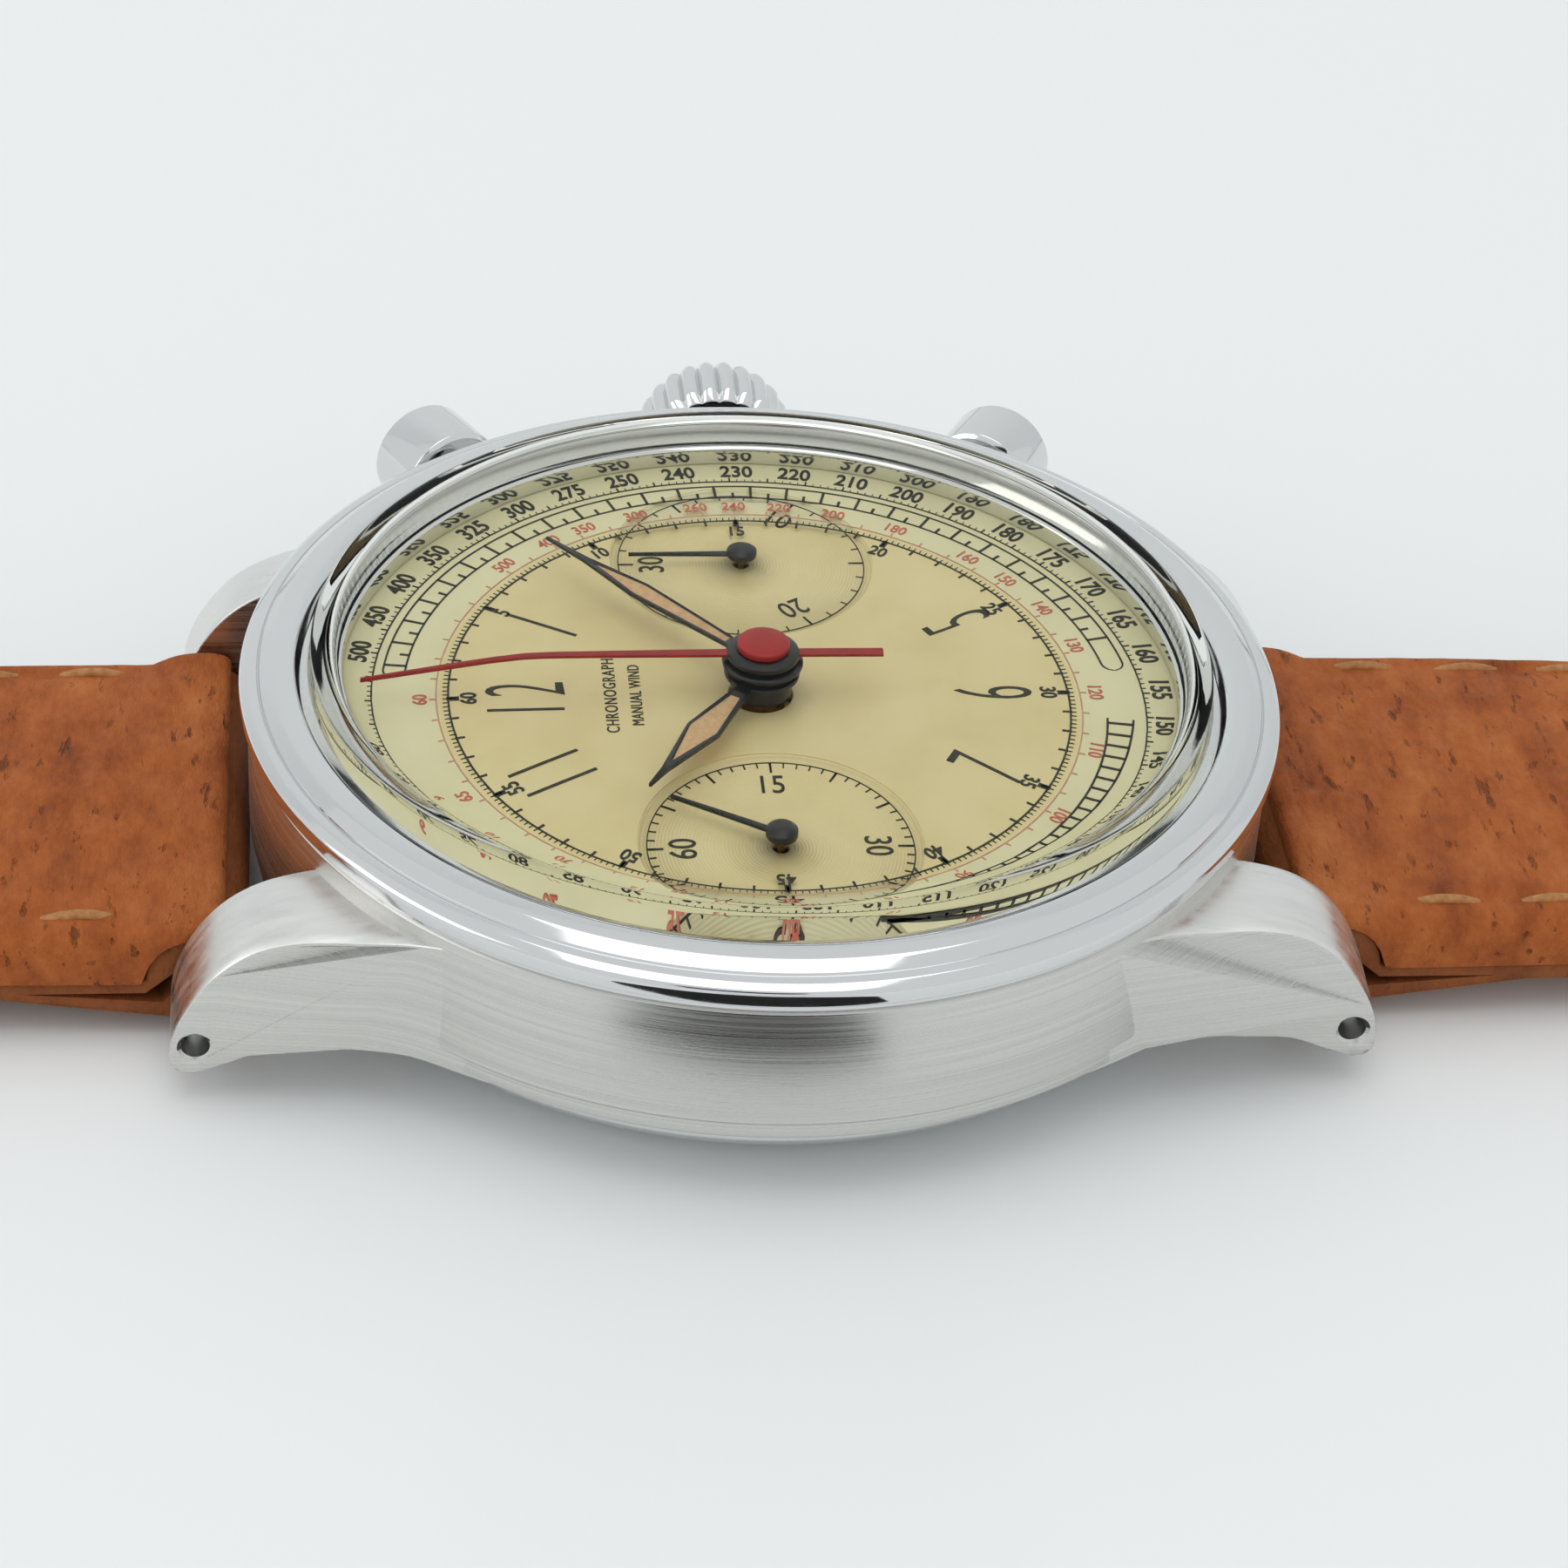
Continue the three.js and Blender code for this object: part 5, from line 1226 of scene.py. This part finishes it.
def strap_lining(name, y_sign, tail, far, rounded_tail):
    loop = arc_points((BAR_Y, BAR_Z), 1.75, 275, 0, 40)
    side = subdivided(loop + [(22.1, 1.8)] + tail + [(27.5, 1.1)])
    made = across_strap(name, side, 8.6, lining_leather, 0.12)
    hole = arc_points((BAR_Y, BAR_Z), 0.85, 25, 330, 40) + [(21.4, 0.95), (26.3, 1.33), (22.0, 1.37)]
    cut(made, across_strap("gap", hole, 12, lining_leather))
    for vertex in made.data.vertices:
        y = vertex.co.y / MM
        wide = (half_width(y) - 0.15) / 8.6
        if rounded_tail and y > far - TAIL_ROUND:
            wide *= tail_share(y, far, 0.03)
        vertex.co.x *= wide
        vertex.co.y *= y_sign
    if y_sign < 0:
        made.data.flip_normals()
    return sharpen(made, 40)


BUCKLE_BAR = (0, 94.5, 2.0)
buckle_loop = arc_points(BUCKLE_BAR[1:], 1.3, 175, -90, 24)
buckle_lining = strap_lining("buckle_strap_lining_visual", 1,
                             [(93.0, 1.8)] + buckle_loop + [(92.7, 1.1)], 200, False)
eye_hole = lathe("eye_hole", [(0, -12), (0.7, -12), (0.7, 12), (0, 12)], lining_leather, 32,
                 frame_at(BUCKLE_BAR, (1, 0, 0), (0, 1, 0)))
notch = extruded("notch", [(-1.5, 92.8), (1.5, 92.8), (1.5, 97), (-1.5, 97)], -1, 4, lining_leather, 0)
cut(buckle_lining, eye_hole, notch)
hole_lining = strap_lining("hole_strap_lining_visual", -1, [(134.8, 0.9), (134.8, 0.08)], 134.9, True)
cut(hole_lining, punches())
place(sharpen(buckle_lining), "buckle_strap", "lining_leather", "buckle_strap_lining")
place(sharpen(hole_lining), "hole_strap", "lining_leather", "hole_strap_lining")

# %% [markdown]
# ## Stitches by Geometry Nodes
# Saddle stitches are the same short arch of thread, repeated every 4.1 mm. The group lays points along a
# line, puts one arch on each and turns it a little at random, since no hand sews perfectly straight.

# %% The stitch group
stitch_group = bpy.data.node_groups.new("stitches_along_a_line", "GeometryNodeTree")
stitch_sockets = {
    "Count": group_input(stitch_group, "Count", "NodeSocketInt", 10),
    "First": group_input(stitch_group, "First", "NodeSocketVector", (0, 0, 0)),
    "Step": group_input(stitch_group, "Step", "NodeSocketVector", (0, 0.004, 0)),
    "Tilt": group_input(stitch_group, "Tilt", "NodeSocketVector", (0, 0, 0)),
    "Length": group_input(stitch_group, "Length", "NodeSocketFloat", 0.0024),
    "Arch": group_input(stitch_group, "Arch", "NodeSocketFloat", 0.0005),
    "Thread": group_input(stitch_group, "Thread", "NodeSocketFloat", 0.0003),
    "Seed": group_input(stitch_group, "Seed", "NodeSocketInt", 1),
}
stitch_sockets["Material"] = stitch_group.interface.new_socket(
    "Material", in_out="INPUT", socket_type="NodeSocketMaterial")
stitch_group.interface.new_socket("Geometry", in_out="OUTPUT", socket_type="NodeSocketGeometry")
given = add(stitch_group, "NodeGroupInput").outputs
row = add(stitch_group, "GeometryNodeMeshLine",
          {"Count": given["Count"], "Start Location": given["First"], "Offset": given["Step"]})
half_length = add(stitch_group, "ShaderNodeMath", {0: given["Length"], 1: 0.5}, operation="MULTIPLY")
minus_half = add(stitch_group, "ShaderNodeMath", {0: given["Length"], 1: -0.5}, operation="MULTIPLY")
sunk = add(stitch_group, "ShaderNodeMath", {0: given["Thread"], 1: -1.0}, operation="MULTIPLY")
begin = add(stitch_group, "ShaderNodeCombineXYZ", {"Y": minus_half.outputs[0], "Z": sunk.outputs[0]})
crest = add(stitch_group, "ShaderNodeCombineXYZ", {"Z": given["Arch"]})
finish = add(stitch_group, "ShaderNodeCombineXYZ", {"Y": half_length.outputs[0], "Z": sunk.outputs[0]})
arch = add(stitch_group, "GeometryNodeCurveQuadraticBezier",
           {"Resolution": 8, "Start": begin.outputs[0], "Middle": crest.outputs[0], "End": finish.outputs[0]})
strand = add(stitch_group, "GeometryNodeCurvePrimitiveCircle",
             {"Resolution": 10, "Radius": given["Thread"]})
body_of_thread = add(stitch_group, "GeometryNodeCurveToMesh",
                     {"Curve": arch.outputs[0], "Profile Curve": strand.outputs[0], "Fill Caps": True})
wobble = add(stitch_group, "FunctionNodeRandomValue",
             {0: (-0.02, -0.03, -0.07), 1: (0.02, 0.03, 0.07), "Seed": given["Seed"]},
             data_type="FLOAT_VECTOR")
tilted = add(stitch_group, "ShaderNodeVectorMath", {0: wobble.outputs[0], 1: given["Tilt"]}, operation="ADD")
sewn = add(stitch_group, "GeometryNodeInstanceOnPoints",
           {"Points": row.outputs[0], "Instance": body_of_thread.outputs[0], "Rotation": tilted.outputs[0]})
smooth = add(stitch_group, "GeometryNodeSetShadeSmooth",
             {"Geometry": add(stitch_group, "GeometryNodeRealizeInstances",
                              {"Geometry": sewn.outputs[0]}).outputs[0]})
coloured = add(stitch_group, "GeometryNodeSetMaterial",
               {"Geometry": smooth.outputs[0], "Material": given["Material"]})
add(stitch_group, "NodeGroupOutput", {"Geometry": coloured.outputs[0]})


def stitch_row(y_sign, x_sign, top, count, seed):
    """Stitches along one edge of the strap, following that edge and the surface."""
    def spot(y):
        return Vector((x_sign * (half_width(y) - STITCH_INSET), y_sign * y, top(y) - 0.3))
    rows = []
    done = 0
    while done < count:
        chunk = min(count - done, 4)
        y0 = STITCH_START + done * STITCH_PITCH
        first, last = spot(y0), spot(y0 + STITCH_PITCH * max(1, chunk - 1))
        step = (last - first) / max(1, chunk - 1)
        run = y_sign * step.y
        tilt = (y_sign * math.atan2(step.z, run), 0, -y_sign * math.atan2(step.x, run))
        rows.append(by_nodes("stitches", stitch_group, stitch_sockets, {
            "Count": chunk, "First": first * MM, "Step": step * MM, "Tilt": tilt, "Length": 2.45 * MM,
            "Arch": 0.28 * MM, "Thread": 0.21 * MM, "Seed": seed + done, "Material": thread}))
        done += chunk
    return rows


rows_12 = stitch_row(1, 1, top_12, 17, 3) + stitch_row(1, -1, top_12, 17, 50)
rows_6 = stitch_row(-1, 1, top_6, 24, 90) + stitch_row(-1, -1, top_6, 24, 140)
place(joined("stitches_12", rows_12), "buckle_strap", "strap_leather")
place(joined("stitches_6", rows_6), "hole_strap", "strap_leather")

# %% [markdown]
# ## Keepers and buckle
# Two leather loops hold the strap's tail. A keeper is a strip bent round a form, so its corners are round.
# The buckle is a bent steel bow with a straight bar through its ends, and a tongue that hooks round that bar.

# %% Keepers
def keeper(name, body, y):
    path = rounded([(-8.7, 0.53), (8.7, 0.53), (8.7, 6.13), (-8.7, 6.13)], 1.3, 8)
    section = rounded([(-2.1, -0.45), (2.1, -0.45), (2.1, 0.45), (-2.1, 0.45)], 0.25, 3)
    points, faces = [], []
    count, around = len(path), len(section)
    for i, (px, pz) in enumerate(path):
        before, after = path[i - 1], path[(i + 1) % count]
        tangent = Vector((after[0] - before[0], after[1] - before[1])).normalized()
        outward = Vector((tangent.y, -tangent.x))
        for along_y, out in section:
            points.append((px + outward.x * out, y + 2.1 + along_y, pz + outward.y * out))
    for i in range(count):
        for j in range(around):
            a, b = i * around, ((i + 1) % count) * around
            k = (j + 1) % around
            faces.append([a + j, a + k, b + k, b + j])
    loop = mesh_object(name + "_visual", points, faces, strap_leather)
    return place(sharpen(loop, 50), body, "strap_leather", name)


keeper("fixed_keeper", "buckle_strap", 86.5)
keeper("free_keeper", "free_keeper", 70.5)

# %% Buckle
frame_side = [(8.25, 93.3), (9.95, 93.3), (9.95, 102.5), (9.15, 104.2), (7.45, 105.0)]
frame_outer = [(-9.95, 93.3)] + [(-x, y) for x, y in frame_side[2:]] + frame_side[:1:-1] + [(9.95, 93.3)]
frame_inner = [(8.25, 93.3), (8.25, 102.2), (7.3, 103.3), (-7.3, 103.3), (-8.25, 102.2), (-8.25, 93.3)]
bow_outline = rounded(frame_outer + frame_inner, 0.7, 5)
bow = extruded("buckle_frame_visual", bow_outline, 1.15, 2.85, mirror_steel, 0.45, segments=4)
place(bow, "buckle", "polished_steel", "buckle_frame")
buckle_bar = lathe("buckle_bar_visual", rounded([(0, -9.75), (0.6, -9.75), (0.6, 9.75), (0, 9.75)], 0.12,
                                                3, closed=False), soft_mirror, 32,
                   frame_at(BUCKLE_BAR, (1, 0, 0), (0, 0, 1)))
place(sharpen(buckle_bar), "buckle", "polished_steel", "buckle_bar")
tongue_side = [(94.8, 2.3), (95.5, 2.6), (103.3, 2.9), (104.6, 2.9), (104.6, 3.35), (103.3, 3.6),
               (95.5, 3.35), (94.5, 3.2)]
tongue = across_strap("tongue", rounded(tongue_side, 0.4, 4), 0.75, mirror_steel, 0.25, 3)
tongue_eye = lathe("tongue_eye", rounded([(0.66, -0.75), (1.2, -0.75), (1.2, 0.75), (0.66, 0.75)], 0.1),
                   mirror_steel, 40, frame_at(BUCKLE_BAR, (1, 0, 0), (0, 0, 1)))
place(joined("buckle_tongue_visual", [tongue, sharpen(tongue_eye)]), "buckle_tongue", "polished_steel",
      "buckle_tongue")

# %% [markdown]
# ## The parts inside
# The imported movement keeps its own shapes. Each of its parts only needs its finish: gilt for the wheels, a
# pale wash for plates and bridges, grey steel for levers, pinions and screws.

# %% Finishes of the movement
WHEELS = ("mainspring_barrel", "centre_wheel", "third_wheel", "fourth_wheel", "balance_wheel", "minute_wheel",
          "hour_wheel", "chronograph_wheel", "minute_register_wheel", "movement_ring")
PLATES = ("main_plate", "barrel_bridge", "train_bridge", "balance_cock", "chronograph_bridge")
rhodium = grained_metal("brass_rhodium_washed", "#B0ADA2", "#C9C7BE", 0.3, 2500)
finished = {"back_gasket": rubber}
finished.update({name: gilt_brass for name in WHEELS})
finished.update({name: rhodium for name in PLATES})
for name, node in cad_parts.items():
    if not node.hide_render:
        node.data.materials.clear()
        node.data.materials.append(finished.get(name, movement_steel))
print("shown as packed:", sorted(n for n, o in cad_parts.items() if not o.hide_render))

# %% [markdown]
# ## Table, backdrop and light
# The watch lies on a pale seamless sheet inside a white tent, which gives nearly all the light. Two
# softboxes, one above and one beyond 12 o'clock, only give the shadow a direction. Polished steel only looks
# like steel when it has something dark to mirror, and here it is the camera: one card stands in for it. A low
# one lying on the sheet is painted shadow: the photographer's shadow on the floor, as the steel mirrors it.

# %% Stage
paper, _, paper_shader = new_material("paper_seamless", Roughness=0.9)
paper_shader.inputs["Base Color"].default_value = linear("#F1F3F3")
paper_points, paper_faces = [], []
SHEET = [(-900, 0), (250, 0), (330, 8), (400, 45), (450, 120), (480, 700)]
for along_x, height in smooth_line(SHEET, 8):
    paper_points += [(along_x, -900, height), (along_x, 900, height)]
for i in range(len(paper_points) // 2 - 1):
    paper_faces.append([2 * i, 2 * i + 1, 2 * i + 3, 2 * i + 2])
sheet = mesh_object("paper_sheet", paper_points, paper_faces, paper)
sheet.location.z = -0.02 * MM
card_black, _, card_shader = new_material("card_black", Roughness=0.9)
card_shader.inputs["Base Color"].default_value = linear("#050505")


def dark_card(name, middle, across, upwards, width, height):
    """A black card that is only seen in mirrors."""
    a, b = Vector(across).normalized() * width / 2, Vector(upwards).normalized() * height / 2
    m = Vector(middle)
    card = mesh_object(name, [m - a - b, m + a - b, m + a + b, m - a + b], [[0, 1, 2, 3]], card_black, False)
    card.visible_camera = card.visible_diffuse = card.visible_shadow = False
    return card


dark_card("lens_card", (eye + back * 12 * MM) / MM, lean_side, lean_up, 64, 40)
# Painted shadow: a black card on the sheet, seen only in the steel, for the photographer's shadow on the
# floor.
dark_card("painted_floor_shadow_card", (-60, 3, 0.6), (0, 1, 0), (1, 0, 0), 18, 70)


def softbox(name, where, towards, width, height, watts, colour="#FFFFFF"):
    light = bpy.data.objects.new(name, bpy.data.lights.new(name, "AREA"))
    light.data.shape, light.data.size, light.data.size_y = "RECTANGLE", width * MM, height * MM
    light.data.energy, light.data.color = watts, linear(colour)[:3]
    light.location = Vector(where) * MM
    aim_at = (Vector(towards) - Vector(where)).to_track_quat("-Z", "Y")
    light.rotation_euler = aim_at.to_euler()
    scene.collection.objects.link(light)
    return light


softbox("top_softbox", (-70, 20, 620), (0, 0, 0), 460, 460, 0.6)
softbox("left_softbox", (-60, 420, 240), (0, 0, 5), 320, 260, 0.25)
world = bpy.data.worlds.new("room")
scene.world = world
world.use_nodes = True
world.node_tree.nodes.clear()
sky = add(world.node_tree, "ShaderNodeBackground", {"Color": linear("#F4F6F7"), "Strength": 0.85})
add(world.node_tree, "ShaderNodeOutputWorld", {"Surface": sky.outputs[0]})
scene.view_settings.view_transform = "Standard"
scene.view_settings.look = "None"
scene.view_settings.exposure = 0.0
